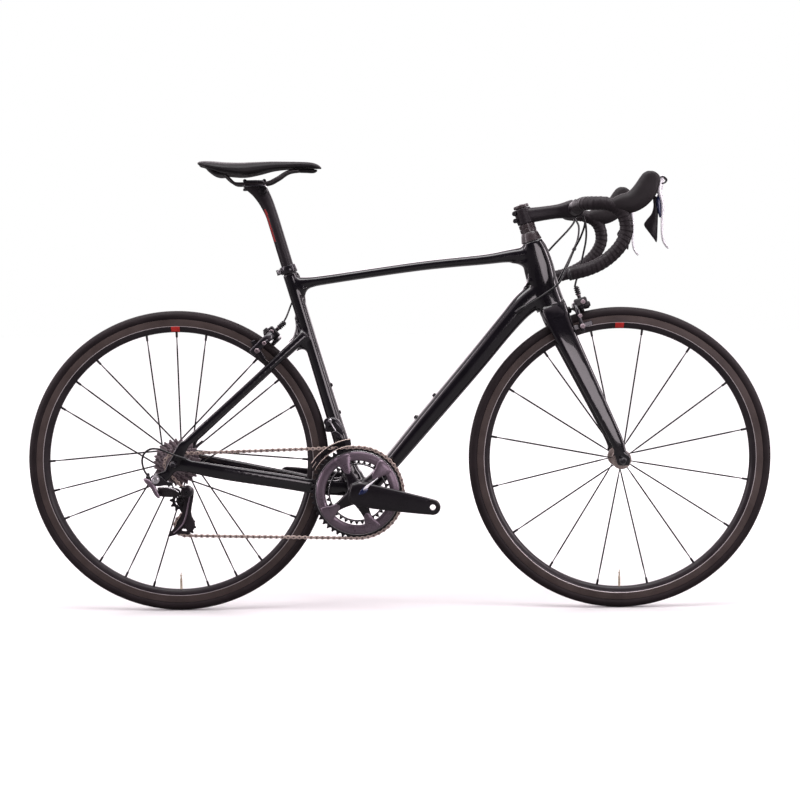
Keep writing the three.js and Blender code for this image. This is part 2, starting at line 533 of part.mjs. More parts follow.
// A four-arm spider holds both chainrings; its spacing is uneven, as on modern road cranks.
const spiderArms = [44, 113, 214, 293].map((angle) => {
  const way = V(Math.cos(rad(angle)), 0, Math.sin(rad(angle)));
  const middle = bottomBracket.clone().addScaledVector(way, 49).setY(-53);
  const post = bottomBracket.clone().addScaledVector(way, 56);
  return join(block(middle, [72, 7, 17], way),
    rod(post.clone().setY(-55), post.clone().setY(RING_Y[1] + 2), 5.5, 6));
});
const spindle = disc(12, -60, 77, bx, bz, 16);
const crankBoss = disc(24, -66, -49.5, bx, bz, 16);
const innerRing = ring(50, pitchRadius(RING_TEETH[1]) - 1, RING_Y[1] - 1.8, RING_Y[1] + 1.8, bx, bz, 36);
const outerRing = ring(71, pitchRadius(RING_TEETH[0]) - CHAIN_HEIGHT / 2 - 1.2,
  RING_Y[0] - 2.4, RING_Y[0] + 2.4, bx, bz, 40);
const ringKeepOut = (y, inner, outer, half) =>
  ring(inner - GAP, outer + GAP, y - half - GAP, y + half + GAP, bx, bz, 36);
part('crank_right', cut(join(crankArm(-1), crankBoss, spindle, ...spiderArms),
  ringKeepOut(RING_Y[1], 50, 72, 1.8), ringKeepOut(RING_Y[0], 71, 100, 2.4)), darkMetal);
part('chainring_inner', innerRing, darkMetal);
part('chainring_outer', outerRing, darkMetal);
part('crank_left', cut(join(crankArm(1), disc(23, 56, 78, bx, bz, 16)),
  disc(12 + GAP, 40, 90, bx, bz, 16)), darkMetal);

// ---------------------------------------------------------------- chain
// The chain is the band between two offsets of its pitch line round four toothed wheels.
// A positive radius is passed counterclockwise in the side view, a negative one clockwise.
const pulleyRadius = pitchRadius(PULLEY_TEETH);
const guidePulley = V(-479.8, COG_Y, 254.6);
const tensionPulley = V(-471.7, COG_Y, 199.8);
const chainWheels = [
  [bx, bz, pitchRadius(RING_TEETH[0])],
  [rearAxle.x, rearAxle.z, pitchRadius(COG_TEETH[0])],
  [guidePulley.x, guidePulley.z, -pulleyRadius],
  [tensionPulley.x, tensionPulley.z, pulleyRadius],
];
function chainLoop(inset, stepAngle) {
  const wheels = chainWheels.map(([x, z, r]) => ({ x, z, r: r - inset }));
  const heading = wheels.map((a, i) => {
    const b = wheels[(i + 1) % wheels.length];
    const span = Math.hypot(b.x - a.x, b.z - a.z);
    return Math.atan2(b.z - a.z, b.x - a.x) - Math.asin((b.r - a.r) / span);
  });
  return wheels.flatMap(({ x, z, r }, i) => {
    const start = heading[(i + wheels.length - 1) % wheels.length];
    const way = Math.sign(r);
    const full = 2 * Math.PI;
    const passed = ((((heading[i] - start) * way) % full) + full) % full;
    const steps = Math.max(2, Math.ceil(passed / stepAngle));
    return Array.from({ length: steps + 1 }, (_, k) => {
      const turn = start + (way * passed * k) / steps;
      return [x + r * Math.sin(turn), z - r * Math.cos(turn)];
    });
  });
}
const halfHeight = CHAIN_HEIGHT / 2;
const chainGeometry = new THREE.ExtrudeGeometry(
  Object.assign(new THREE.Shape(chainLoop(-halfHeight, rad(14)).map(([x, z]) => new THREE.Vector2(x, z))), {
    holes: [new THREE.Path(chainLoop(halfHeight, rad(14)).map(([x, z]) => new THREE.Vector2(x, z)))],
  }), { depth: CHAIN_WIDTH, bevelEnabled: false });
chainGeometry.rotateX(Math.PI / 2).translate(0, CHAIN_WIDTH / 2, 0);
// From the plane of the cogs the chain slants evenly to the plane of the rings.
const chainPlace = chainGeometry.attributes.position;
for (let k = 0; k < chainPlace.count; k++) {
  const share = THREE.MathUtils.clamp((chainPlace.getX(k) + 465) / (bx + 465 - 14), 0, 1);
  chainPlace.setY(k, chainPlace.getY(k) + COG_Y + (RING_Y[0] - COG_Y) * share);
}
part('chain', toSolid(chainGeometry), champagne);

// ---------------------------------------------------------------- rear derailleur
const linkRoot = V(-524, -66, 277);
const linkTip = V(-473, -84, 277);
part('rear_derailleur_body', join(
  plate([[-509, 299], [-494, 299.4], [-496, 291], [-512, 293], [-524, 297], [-540, 297], [-543, 308],
    [-532, 316], [-518, 311]], -80, -73),
  plate([[-545, 300], [-526, 300], [-521, 289.5], [-530, 287.5], [-545, 289]], -79, -66),
  plate([[-551, 298], [-540, 298], [-535, 284], [-534, 268], [-539, 268], [-546, 282]],
    -79, -71)), darkMetal);
const linkBody = join(
  rod(V(linkRoot.x, linkRoot.y, 284.5), V(linkRoot.x, linkRoot.y, 266), 7, 12),
  loft([{ x: linkRoot.x + 3, y: linkRoot.y - 2, z: 276, depth: 16, width: 10 },
    { x: (linkRoot.x + linkTip.x) / 2, y: (linkRoot.y + linkTip.y) / 2 - 2, z: 277, depth: 17, width: 10 },
    { x: linkTip.x - 11, y: linkTip.y + 3, z: 277, depth: 16, width: 9 }], 10));
part('rear_derailleur_link', linkBody, darkMetal);
part('rear_derailleur_knuckle', join(
  rod(V(-463, -88, 277), V(-463, -66.5, 277), 13, 16),
  rod(V(linkTip.x, linkTip.y, 288), V(linkTip.x, linkTip.y, 286.3), 7, 12),
  rod(V(linkTip.x, linkTip.y, 266), V(linkTip.x, linkTip.y, 267.7), 7, 12)), darkMetal);
const cageOutline = [
  [-470, 286], [-456, 287], [-449, 278], [-452, 262], [-456, 240], [-455, 205], [-460, 190], [-484, 183],
  [-506, 177], [-507, 182], [-490, 200], [-483, 215], [-474, 236], [-486, 245], [-489, 258], [-482, 266],
];
const cagePlate = (y) => plate(cageOutline, y - 0.9, y + 0.9);
part('rear_derailleur_cage', join(cagePlate(-65.2), cagePlate(-54.4),
  rod(V(-505, -66, 180), V(-505, -53.6, 180), 1.8, 8),
  rod(guidePulley.clone().setY(-66), guidePulley.clone().setY(-53.6), 2.6, 8),
  rod(tensionPulley.clone().setY(-66), tensionPulley.clone().setY(-53.6), 2.6, 8)), darkMetal);
for (const [name, at] of [['guide_pulley', guidePulley], ['tension_pulley', tensionPulley]]) {
  part(name, ring(3.0, pulleyRadius - halfHeight - GAP, at.y - 1.8, at.y + 1.8, at.x, at.z, 16), darkMetal);
}

// ---------------------------------------------------------------- front derailleur
const cagePoint = (r, angle) => [bx + r * Math.cos(rad(angle)), bz + r * Math.sin(rad(angle))];
const bladeOutline = [...arc(bx, bz, 106, 97, 152, 6), ...arc(bx, bz, 122, 146, 97, 5)];
const blade = (y) => plate(bladeOutline, y - 0.8, y + 0.8);
part('front_derailleur_body', join(
  plate([[-163, 428], [-140, 430], [-122, 398], [-130, 391], [-150, 406], [-163, 407]], -38, -19),
  rod(V(-156, -30, 424), V(-143, -30, 424), 8, 12)), darkMetal);
part('front_derailleur_cage', join(blade(-55.6), blade(-41.5),
  plate([cagePoint(117.5, 97), cagePoint(117.5, 106), cagePoint(122, 106), cagePoint(122, 97)], -56, -41),
  plate([cagePoint(106.5, 151), cagePoint(106.5, 147.5), cagePoint(120, 145), cagePoint(121, 147)], -56, -41),
  plate([cagePoint(121, 105), cagePoint(121, 116), [-150, 395], [-146, 404], [-138, 404],
    [-134, 392]], -46, -41)), darkMetal);

// ---------------------------------------------------------------- brake calipers
// Drawn looking along the mounting bolt: v across the wheel, w up from the centre bolt.
const rimGap = 1.5;
function caliperArm(pivotV, u, padTilt) {
  const outline = [[-6, 8], [14, 14], [32, 9], [43, -6], [45, -24], [42, -53], [31, -53], [33, -30], [29, -10],
    [19, -4.5], [0, -5.5], [-6, -3]];
  const shape = new THREE.Shape(outline.map(([v, w]) => new THREE.Vector2(v, w)));
  const body = toSolid(new THREE.ExtrudeGeometry(shape, { depth: 7, bevelEnabled: false }).translate(0, 0, u));
  const padV = RIM_WIDTH / 2 + rimGap;
  const tilted = (geometry) => toSolid(geometry.rotateX(padTilt).translate(0, -40, u + 3.5));
  const pad = tilted(new THREE.BoxGeometry(8, 10, 46).translate(padV + 4, 0, 0));
  const holder = tilted(new THREE.BoxGeometry(16, 8, 10).translate(padV + 15, 0, 0));
  const hole = toSolid(new THREE.CylinderGeometry(3.4, 3.4, 60, 12).rotateX(Math.PI / 2).translate(0, 0, u));
  return cut(join(body, pad, holder), hole);
}
function caliper(end, origin, up, across, padTilt) {
  const group = new THREE.Group();
  const out = across.clone().cross(up);
  group.applyMatrix4(new THREE.Matrix4().makeBasis(across, up, out).setPosition(origin));
  bike.add(group);
  // The arm whose pad is on +Y is the front one of the pair; the other lies behind it.
  const mirrored = (solid) => solid.mirror([1, 0, 0]);
  const nearIsLeft = across.y > 0;
  const leftArm = caliperArm(0, 0.6, padTilt);
  const rightArm = mirrored(caliperArm(0, -7.4, padTilt));
  part(`${end}_brake_arm_${nearIsLeft ? 'left' : 'right'}`, leftArm, darkMetal, group);
  part(`${end}_brake_arm_${nearIsLeft ? 'right' : 'left'}`, rightArm, darkMetal, group);
}
caliper('front', frontBrakePivot, steerUp, V(0, 1, 0), 0);
caliper('rear', rearBrakePivot, stayUp, V(0, -1, 0), 0.22);

// ---------------------------------------------------------------- cables in their housings
part('front_brake_cable', sweep([V(407, -46, 868), V(413, -44, 850), V(415, -38, 820), V(410, -30, 780),
  V(404, -25, 745), V(400, -22, 712), V(399, -21, 692)], HOUSING_RADIUS, 6, 14), rubber);
part('rear_brake_cable', cut(sweep([V(seatX(692) - 12, 0, 692), V(-241, -3, 675), V(-247, -9, 660),
  V(-254, -13, 645), V(-261, -15, 634)], HOUSING_RADIUS, 6, 10), seatKeepOut), rubber);
part('rear_derailleur_cable', sweep([V(-476, -76.5, 352), V(-500, -76.5, 362), V(-520, -75.5, 370),
  V(-541, -74, 371), V(-556, -73, 361), V(-561, -72, 344), V(-557, -72, 325), V(-549, -72, 306)],
HOUSING_RADIUS, 6, 18), rubber);
// Three housings from the bar, tied together by a clip in front of the head tube.
const clip = V(392, 0, 800);
const tube = (points) => sweep(points, HOUSING_RADIUS, 6, 16);
part('handlebar_cables', join(
  tube([V(404, -72, 868), V(409, -60, 852), V(403, -26, 824), V(clip.x, -7, clip.z), V(375, -18, 762),
    V(356, -31, 726), V(325, -32, 702), V(292, -31, 681), V(272, -29.5, 668)]),
  tube([V(404, 72, 868), V(409, 60, 852), V(403, 26, 824), V(clip.x, 7, clip.z), V(375, 18, 762),
    V(356, 31, 726), V(325, 32, 702), V(292, 31, 681), V(272, 29.5, 668)]),
  tube([V(398, 40, 870), V(402, 30, 850), V(401, 8, 824), V(clip.x, 0, clip.z), V(370, -1, 790),
    V(343, 0, 790)]),
  block(clip, [6.5, 19.5, 9], V(0.4, 0, 0.917))), rubber);

export default bike;
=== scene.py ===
"""Road bicycle: the looks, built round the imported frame.

Shapes are drawn in millimetres in the frame's own axes (+X forward, +Y the rider's left, +Z up)
and become metres when a piece is made. A shape is (points, faces, material number of each face).
"""
import json
import math

import bmesh
import bpy
import numpy as np
from mathutils import Matrix, Vector


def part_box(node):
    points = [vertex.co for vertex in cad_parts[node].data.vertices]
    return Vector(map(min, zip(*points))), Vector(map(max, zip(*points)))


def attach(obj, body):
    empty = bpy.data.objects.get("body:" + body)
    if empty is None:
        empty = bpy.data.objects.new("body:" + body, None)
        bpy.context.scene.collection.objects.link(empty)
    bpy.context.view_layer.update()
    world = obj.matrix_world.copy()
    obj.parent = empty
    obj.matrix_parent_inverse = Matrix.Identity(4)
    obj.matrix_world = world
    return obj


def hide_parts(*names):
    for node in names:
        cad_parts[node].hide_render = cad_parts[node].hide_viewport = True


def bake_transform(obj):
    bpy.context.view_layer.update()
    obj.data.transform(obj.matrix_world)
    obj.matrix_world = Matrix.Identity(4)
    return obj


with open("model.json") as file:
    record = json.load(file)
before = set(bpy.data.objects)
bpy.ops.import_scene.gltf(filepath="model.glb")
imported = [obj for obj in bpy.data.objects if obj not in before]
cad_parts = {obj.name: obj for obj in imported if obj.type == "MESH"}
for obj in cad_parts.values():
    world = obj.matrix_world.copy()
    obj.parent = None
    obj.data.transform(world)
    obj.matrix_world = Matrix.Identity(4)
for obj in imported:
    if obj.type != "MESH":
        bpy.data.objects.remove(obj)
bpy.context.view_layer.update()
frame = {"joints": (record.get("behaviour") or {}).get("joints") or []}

MM = 0.001
rad = math.radians


# ------------------------------------------------------------------ places, from the frame
def centre(node):
    low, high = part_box(node)
    return np.array((low + high) / 2) / MM


joint = {j["name"]: j for j in frame["joints"]}
front_axle = centre("front_hub_axle") * (1, 0, 1)
rear_axle = centre("rear_hub_axle") * (1, 0, 1)
bracket = centre("bottom_bracket") * (1, 0, 1)
steer_up = np.array(joint["steering"]["axis"])
steer_fore = np.array([steer_up[2], 0, -steer_up[0]])
steer_foot = np.array(joint["steering"]["pos_m"]) / MM
seat_up = np.array(joint["seatpost_height"]["axis"])
guide_centre = np.array(joint["guide_pulley_spin"]["pos_m"]) / MM
tension_centre = np.array(joint["tension_pulley_spin"]["pos_m"]) / MM
front_pivot = np.array(joint["front_brake_right"]["pos_m"]) / MM
rear_pivot = np.array(joint["rear_brake_right"]["pos_m"]) / MM
link_root = np.array(joint["rear_derailleur_shift"]["pos_m"]) / MM
link_tip = np.array(joint["rear_derailleur_follow"]["pos_m"]) / MM
link_axis = np.array(joint["rear_derailleur_shift"]["axis"])
stay_back = np.array(joint["rear_brake_right"]["axis"])
stay_up = np.array([stay_back[2], 0, -stay_back[0]])

SEAT_TUBE_FOOT = -96
PITCH = 12.7
BAR_Y = 207
CHAIN_Y_COG = -59.5
CHAIN_Y_RING = -46
ACROSS = np.array([0, 1, 0])
CRANK_LENGTH = 168
RING_BOLT_RADIUS = 76


def heading(angle):
    """The direction at this angle up from +X, seen from the rider's right."""
    return np.array([math.cos(angle), 0, math.sin(angle)])


def steer(up, fore=0):
    """A place by its distance up the steering axis and forward of it."""
    at = steer_foot + up * steer_up + fore * steer_fore
    return np.array([at[0], 0, at[2]])


def seat_x(z):
    return SEAT_TUBE_FOOT + seat_up[0] / seat_up[2] * (z - bracket[2])


def pitch_radius(teeth):
    return PITCH / (2 * math.sin(math.pi / teeth))


# ------------------------------------------------------------------ materials
def material(name, dark, light, rough, metal=0.0, coat=0.0, grain=(300, 0.15), coat_rough=0.05, weave=None,
             shine=0.5):
    """A Principled material with colour, roughness and relief that vary over the surface.

    rough is the lowest and highest roughness. grain is the noise scale per metre and its relief.
    shine is how strongly a bare surface mirrors: 0.5 for lacquer, less for rubber and cloth.
    weave adds a woven or ribbed relief: (threads per metre, strength).
    """
    item = bpy.data.materials.new(f"{name}_look")
    item.use_nodes = True
    nodes, links = item.node_tree.nodes, item.node_tree.links
    shader = nodes["Principled BSDF"]
    shader.inputs["Metallic"].default_value = metal
    shader.inputs["Coat Weight"].default_value = coat
    shader.inputs["Coat Roughness"].default_value = coat_rough
    shader.inputs["Specular IOR Level"].default_value = shine
    place = nodes.new("ShaderNodeTexCoord")
    noise = nodes.new("ShaderNodeTexNoise")
    noise.inputs["Scale"].default_value = grain[0]
    noise.inputs["Detail"].default_value = 6
    links.new(place.outputs["Object"], noise.inputs["Vector"])
    broad = nodes.new("ShaderNodeTexNoise")
    broad.inputs["Scale"].default_value = 22
    broad.inputs["Detail"].default_value = 3
    links.new(place.outputs["Object"], broad.inputs["Vector"])
    both = nodes.new("ShaderNodeMath")
    both.operation = "MULTIPLY_ADD"
    links.new(noise.outputs["Fac"], both.inputs[0])
    both.inputs[1].default_value = 0.5
    half = nodes.new("ShaderNodeMath")
    half.operation = "MULTIPLY"
    links.new(broad.outputs["Fac"], half.inputs[0])
    half.inputs[1].default_value = 0.5
    links.new(half.outputs[0], both.inputs[2])
    ramp = nodes.new("ShaderNodeValToRGB")
    ramp.color_ramp.elements[0].position = 0.35
    ramp.color_ramp.elements[0].color = (*dark, 1)
    ramp.color_ramp.elements[1].position = 0.65
    ramp.color_ramp.elements[1].color = (*light, 1)
    links.new(both.outputs[0], ramp.inputs["Fac"])
    links.new(ramp.outputs["Color"], shader.inputs["Base Color"])
    spread = nodes.new("ShaderNodeMapRange")
    spread.inputs["From Min"].default_value = 0.3
    spread.inputs["From Max"].default_value = 0.7
    spread.inputs["To Min"].default_value = rough[0]
    spread.inputs["To Max"].default_value = rough[1]
    links.new(both.outputs[0], spread.inputs["Value"])
    links.new(spread.outputs["Result"], shader.inputs["Roughness"])
    relief = nodes.new("ShaderNodeBump")
    relief.inputs["Strength"].default_value = grain[1]
    relief.inputs["Distance"].default_value = 0.0004
    links.new(noise.outputs["Fac"], relief.inputs["Height"])
    links.new(relief.outputs["Normal"], shader.inputs["Normal"])
    if weave:
        cloth = nodes.new("ShaderNodeTexWave")
        cloth.wave_type = "BANDS"
        cloth.bands_direction = "DIAGONAL"
        cloth.inputs["Scale"].default_value = weave[0]
        cloth.inputs["Distortion"].default_value = 0.4
        links.new(place.outputs["Object"], cloth.inputs["Vector"])
        ribs = nodes.new("ShaderNodeBump")
        ribs.inputs["Strength"].default_value = weave[1]
        ribs.inputs["Distance"].default_value = 0.0003
        links.new(cloth.outputs["Fac"], ribs.inputs["Height"])
        links.new(relief.outputs["Normal"], ribs.inputs["Normal"])
        links.new(ribs.outputs["Normal"], shader.inputs["Normal"])
    return item


GLOSS = material("gloss_carbon", (0.0035, 0.003, 0.0045), (0.007, 0.006, 0.009), (0.14, 0.22), coat=0.8,
                 grain=(900, 0.01), coat_rough=0.02, shine=0.35)
SATIN = material("satin_carbon", (0.011, 0.009, 0.011), (0.023, 0.018, 0.022), (0.32, 0.44),
                 grain=(1400, 0.06), shine=0.3)
RIM = material("rim_carbon", (0.014, 0.011, 0.013), (0.032, 0.026, 0.029), (0.26, 0.40), coat=0.15,
               grain=(1500, 0.06), weave=(90, 0.05), shine=0.25)
BRAKE_TRACK = material("rim_brake_track", (0.050, 0.037, 0.034), (0.090, 0.069, 0.064), (0.38, 0.5),
                       grain=(1600, 0.12), shine=0.25)
# A thin light band where the rim's flank turns into the brake track: a painted highlight.
RIM_HIGHLIGHT = material("rim_painted_highlight", (0.60, 0.55, 0.55), (0.80, 0.75, 0.76), (0.18, 0.28), metal=0.4,
                       grain=(600, 0.02))
TYRE = material("tyre", (0.013, 0.009, 0.010), (0.026, 0.019, 0.021), (0.50, 0.66), grain=(1100, 0.2),
                shine=0.2)
RUBBER = material("hood_rubber", (0.011, 0.009, 0.010), (0.022, 0.018, 0.020), (0.46, 0.60),
                  grain=(1700, 0.14), shine=0.25)
TAPE = material("bar_tape", (0.010, 0.0075, 0.009), (0.024, 0.019, 0.022), (0.40, 0.58), grain=(1500, 0.35),
                shine=0.25)
HOUSING = material("cable_housing", (0.007, 0.007, 0.008), (0.014, 0.013, 0.015), (0.26, 0.38),
                   grain=(900, 0.05))
BLACK = material("black_steel", (0.009, 0.008, 0.010), (0.018, 0.016, 0.019), (0.24, 0.36), metal=0.3,
                 grain=(900, 0.05))
SPOKE = material("spoke_black", (0.004, 0.004, 0.004), (0.007, 0.007, 0.007), (0.45, 0.55), grain=(900, 0.03))
DARK = material("dark_alloy", (0.012, 0.011, 0.014), (0.030, 0.026, 0.034), (0.16, 0.28), metal=0.55,
                coat=0.6, grain=(1200, 0.04))
ANODISED = material("anodised_black", (0.010, 0.008, 0.010), (0.022, 0.018, 0.022), (0.22, 0.34), metal=0.4,
                    coat=0.3, grain=(1200, 0.05))
CRANK = material("crank_black", (0.005, 0.004, 0.006), (0.011, 0.009, 0.012), (0.24, 0.34), coat=0.4,
                 grain=(1200, 0.03), shine=0.3)
# Also used for the painted highlight leaf on the crank's spider arm.
BRIGHT = material("bright_alloy_and_painted_highlight", (0.80, 0.80, 0.83), (0.92, 0.92, 0.95), (0.14, 0.24), metal=0.2, coat=0.4,
                  grain=(700, 0.03))
MAUVE = material("anodised_mauve", (0.15, 0.118, 0.145), (0.27, 0.215, 0.26), (0.24, 0.36), metal=0.7,
                 grain=(900, 0.05))
# Polished alloy for bolts, axles and the spindle, and also the thin painted highlight lines on the
# chainrings, the mech link and the front changer.
SILVER = material("polished_alloy", (0.68, 0.67, 0.69), (0.85, 0.84, 0.87), (0.10, 0.22), metal=0.8,
                  grain=(800, 0.04))
CHAIN = material("chain_steel", (0.56, 0.44, 0.38), (0.80, 0.67, 0.60), (0.22, 0.34), metal=0.65,
                 grain=(700, 0.1))
COG = material("cassette_steel", (0.24, 0.195, 0.21), (0.42, 0.345, 0.37), (0.26, 0.42), metal=0.6,
               grain=(900, 0.1))
COG_DARK = material("cassette_dark", (0.09, 0.072, 0.08), (0.18, 0.145, 0.16), (0.3, 0.45), metal=0.6,
                    grain=(900, 0.1))
COPPER = material("copper_carrier", (0.58, 0.40, 0.28), (0.80, 0.60, 0.46), (0.24, 0.36), metal=0.6,
                  grain=(800, 0.08))
BRONZE = material("hub_bronze", (0.28, 0.22, 0.20), (0.55, 0.47, 0.43), (0.2, 0.32), metal=0.6,
                  grain=(800, 0.05))
SADDLE = material("saddle_cover", (0.006, 0.005, 0.006), (0.013, 0.011, 0.013), (0.36, 0.50),
                  grain=(2200, 0.3), shine=0.22)
SHELL = material("saddle_shell", (0.007, 0.006, 0.007), (0.014, 0.012, 0.014), (0.3, 0.45), grain=(900, 0.06),
                 shine=0.2)
RAIL = material("rail_carbon", (0.012, 0.009, 0.010), (0.028, 0.022, 0.025), (0.26, 0.4), coat=0.3,
                grain=(800, 0.05), weave=(160, 0.08))
SPACER = material("spacer_brown", (0.020, 0.014, 0.015), (0.045, 0.033, 0.035), (0.26, 0.38), coat=0.3,
                  grain=(900, 0.06))
# Also used for the painted blue reflection on the crank's spider arm.
NAVY = material("lever_navy", (0.004, 0.008, 0.035), (0.010, 0.020, 0.090), (0.18, 0.28), metal=0.3, coat=0.6,
                grain=(900, 0.04))
RED = material("red_enamel", (0.60, 0.020, 0.016), (0.80, 0.045, 0.035), (0.30, 0.42), grain=(800, 0.04))
RED_DARK = material("red_stripe", (0.26, 0.008, 0.008), (0.42, 0.020, 0.018), (0.34, 0.46), grain=(1200, 0.2))
BRASS = material("valve_brass", (0.62, 0.53, 0.40), (0.80, 0.72, 0.56), (0.22, 0.34), metal=0.5,
                 grain=(900, 0.05))
PAD = material("brake_pad", (0.012, 0.012, 0.013), (0.030, 0.028, 0.031), (0.6, 0.75), grain=(1500, 0.3))


# ------------------------------------------------------------------ shapes
def merged(*shapes):
    points, faces, marks, count = [], [], [], 0
    for verts, polygons, numbers in shapes:
        points.append(np.asarray(verts, float))
        faces += [[count + i for i in polygon] for polygon in polygons]
        marks += list(numbers)
        count += len(verts)
    return np.vstack(points), faces, marks


def moved(shape, offset):
    return shape[0] + np.asarray(offset, float), shape[1], shape[2]


def mirrored(shape):
    return shape[0] * (1, -1, 1), [polygon[::-1] for polygon in shape[1]], shape[2]


def placed(shape, x, y, z, origin=(0, 0, 0)):
    """Drawn along the three given directions from the origin."""
    return shape[0] @ np.array([x, y, z], float) + np.asarray(origin, float), shape[1], shape[2]


def spline(p, steps):
    """A Catmull-Rom curve from the second point to the one before the last, without its end."""
    out = []
    for i in range(1, len(p) - 2):
        a, b, c, d = p[i - 1:i + 3]
        for k in range(steps):
            t = k / steps
            out.append(0.5 * (2 * b + (c - a) * t + (2 * a - 5 * b + 4 * c - d) * t ** 2
                              + (3 * b - a - 3 * c + d) * t ** 3))
    return out


def smooth(rows, steps):
    """An open smooth curve through the rows."""
    p = np.array(rows, float)
    p = np.vstack([2 * p[0] - p[1], p, 2 * p[-1] - p[-2]])
    return np.array([*spline(p, steps), p[-2]])


def tube_faces(rings, sides, closed=False):
    """Quads between neighbouring rings of points, and from the last ring to the first if closed."""
    faces = []
    for i in range(rings if closed else rings - 1):
        for k in range(sides):
            a, b = i * sides + k, i * sides + (k + 1) % sides
            faces.append([a, b, (b + sides) % (sides * rings), (a + sides) % (sides * rings)])
    return faces


def capped(verts, rings, sides):
    """A shape from rings of points, closed at both ends."""
    faces = tube_faces(rings, sides)
    faces.append(list(range(sides)))
    faces.append(list(range((rings - 1) * sides, rings * sides)))
    return verts, faces, [0] * len(faces)


def row(x, z, depth, width, y=0, square=2.3):
    return [x, y, z, depth, width, square]


def loft(rows, sides=32, steps=6, level=False):
    """A skin through superellipse sections: depth is seen from the side, width is across."""
    rows = smooth(rows, steps)
    rows[:, 3:5] = np.maximum(rows[:, 3:5], 0.4)
    run = np.gradient(rows[:, [0, 2]], axis=0)
    run = np.tile([0, 1], (len(rows), 1)) if level else run / np.linalg.norm(run, axis=1)[:, None]
    turn = np.arange(sides) * 2 * math.pi / sides
    verts = []
    for (x, y, z, depth, width, square), (rx, rz) in zip(rows, run):
        power = 2 / square
        high = np.sign(np.cos(turn)) * np.abs(np.cos(turn)) ** power * depth / 2
        wide = np.sign(np.sin(turn)) * np.abs(np.sin(turn)) ** power * width / 2
        verts.append(np.column_stack([x - rz * high, y + wide, z + rx * high]))
    return capped(np.vstack(verts), len(rows), sides)


def sweep(points, radius, sides=16, steps=8):
    """A tube along a smooth curve. The radius is a number, or a function of length and angle."""
    path = smooth(points, steps)
    length = np.concatenate([[0], np.cumsum(np.linalg.norm(np.diff(path, axis=0), axis=1))])
    tangent = np.gradient(path, axis=0)
    tangent /= np.linalg.norm(tangent, axis=1)[:, None]
    side = np.cross(tangent[0], [0.11, 0.17, 1.0])
    side /= np.linalg.norm(side)
    turn = np.arange(sides) * 2 * math.pi / sides
    verts = []
    for at, along, s in zip(path, tangent, length):
        side = side - along * side.dot(along)
        side /= np.linalg.norm(side)
        other = np.cross(along, side)
        size = np.array([radius(s, t) for t in turn]) if callable(radius) else np.full(sides, float(radius))
        verts.append(at + np.outer(np.cos(turn) * size, side) + np.outer(np.sin(turn) * size, other))
    return capped(np.vstack(verts), len(path), sides)


def spun(origin, direction, profile, segments=24, numbers=None, closed=False):
    """A solid of revolution: the profile lists [distance along the direction, radius]."""
    along = np.asarray(direction, float) / np.linalg.norm(direction)
    first = np.cross(along, [0.31, 0.17, 0.93] if abs(along[1]) > 0.5 else [0, 1, 0])
    first /= np.linalg.norm(first)
    second = np.cross(along, first)
    turn = np.arange(segments) * 2 * math.pi / segments
    verts = [np.asarray(origin, float) + along * d + r * (np.outer(np.cos(turn), first)
             + np.outer(np.sin(turn), second)) for d, r in profile]
    faces = tube_faces(len(profile), segments, closed)
    marks = [0] * len(faces)
    if numbers:
        marks = [numbers[i] for i in range(len(faces) // segments) for _ in range(segments)]
    if not closed:
        for i, end in ((0, profile[0]), (len(profile) - 1, profile[-1])):
            if end[1] > 1e-6:
                faces.append(list(range(i * segments, (i + 1) * segments)))
                marks.append(0)
    return np.vstack(verts), faces, marks


def across(x, z, profile, **options):
    """A solid of revolution about a line along Y. The profile lists [y, radius]."""
    return spun((x, 0, z), ACROSS, profile, **options)


def rod(start, end, radius, segments=20, chamfer=0.6):
    run = np.asarray(end, float) - np.asarray(start, float)
    length = np.linalg.norm(run)
    chamfer = min(chamfer, radius * 0.5, length * 0.3)
    return spun(start, run, [[0, radius - chamfer], [chamfer, radius], [length - chamfer, radius],
                             [length, radius - chamfer]], segments)


def bolt(at, direction, radius, height):
    """A round head with a six-sided socket sunk into it, standing on the surface at the given place."""
    head = spun(at, direction, [[0, radius], [height * 0.7, radius], [height, radius * 0.8],
                                [height, radius * 0.55]], 24)
    faces = head[1][:-2]
    head = head[0], faces, [0] * len(faces)
    along = np.asarray(direction, float) / np.linalg.norm(direction)
    cup = spun(np.asarray(at, float) + along * height * 0.3, direction,
               [[0, 0], [0, radius * 0.5], [height * 0.7, radius * 0.55]], 6)
    return merged(head, (cup[0], cup[1][:-1], cup[2][:-1]))


def inset(outline, distance):
    """The outline moved inward by the distance, corner by corner."""
    p = np.asarray(outline, float)
    before, after = np.roll(p, 1, axis=0), np.roll(p, -1, axis=0)
    along = after - before
    along /= np.maximum(np.linalg.norm(along, axis=1), 1e-9)[:, None]
    area = np.sum(p[:, 0] * after[:, 1] - after[:, 0] * p[:, 1])
    normal = np.column_stack([-along[:, 1], along[:, 0]]) * math.copysign(1, area)
    return p + normal * distance


def prism(outline, low, high, chamfer=0.5):
    """A plate drawn in the side view, from y low to high, with chamfered edges."""
    small = inset(outline, chamfer)
    layers = [(small, low), (np.asarray(outline, float), low + chamfer),
              (np.asarray(outline, float), high - chamfer), (small, high)]
    count = len(outline)
    verts = np.vstack([np.column_stack([p[:, 0], np.full(count, y), p[:, 1]]) for p, y in layers])
    return capped(verts, 4, count)


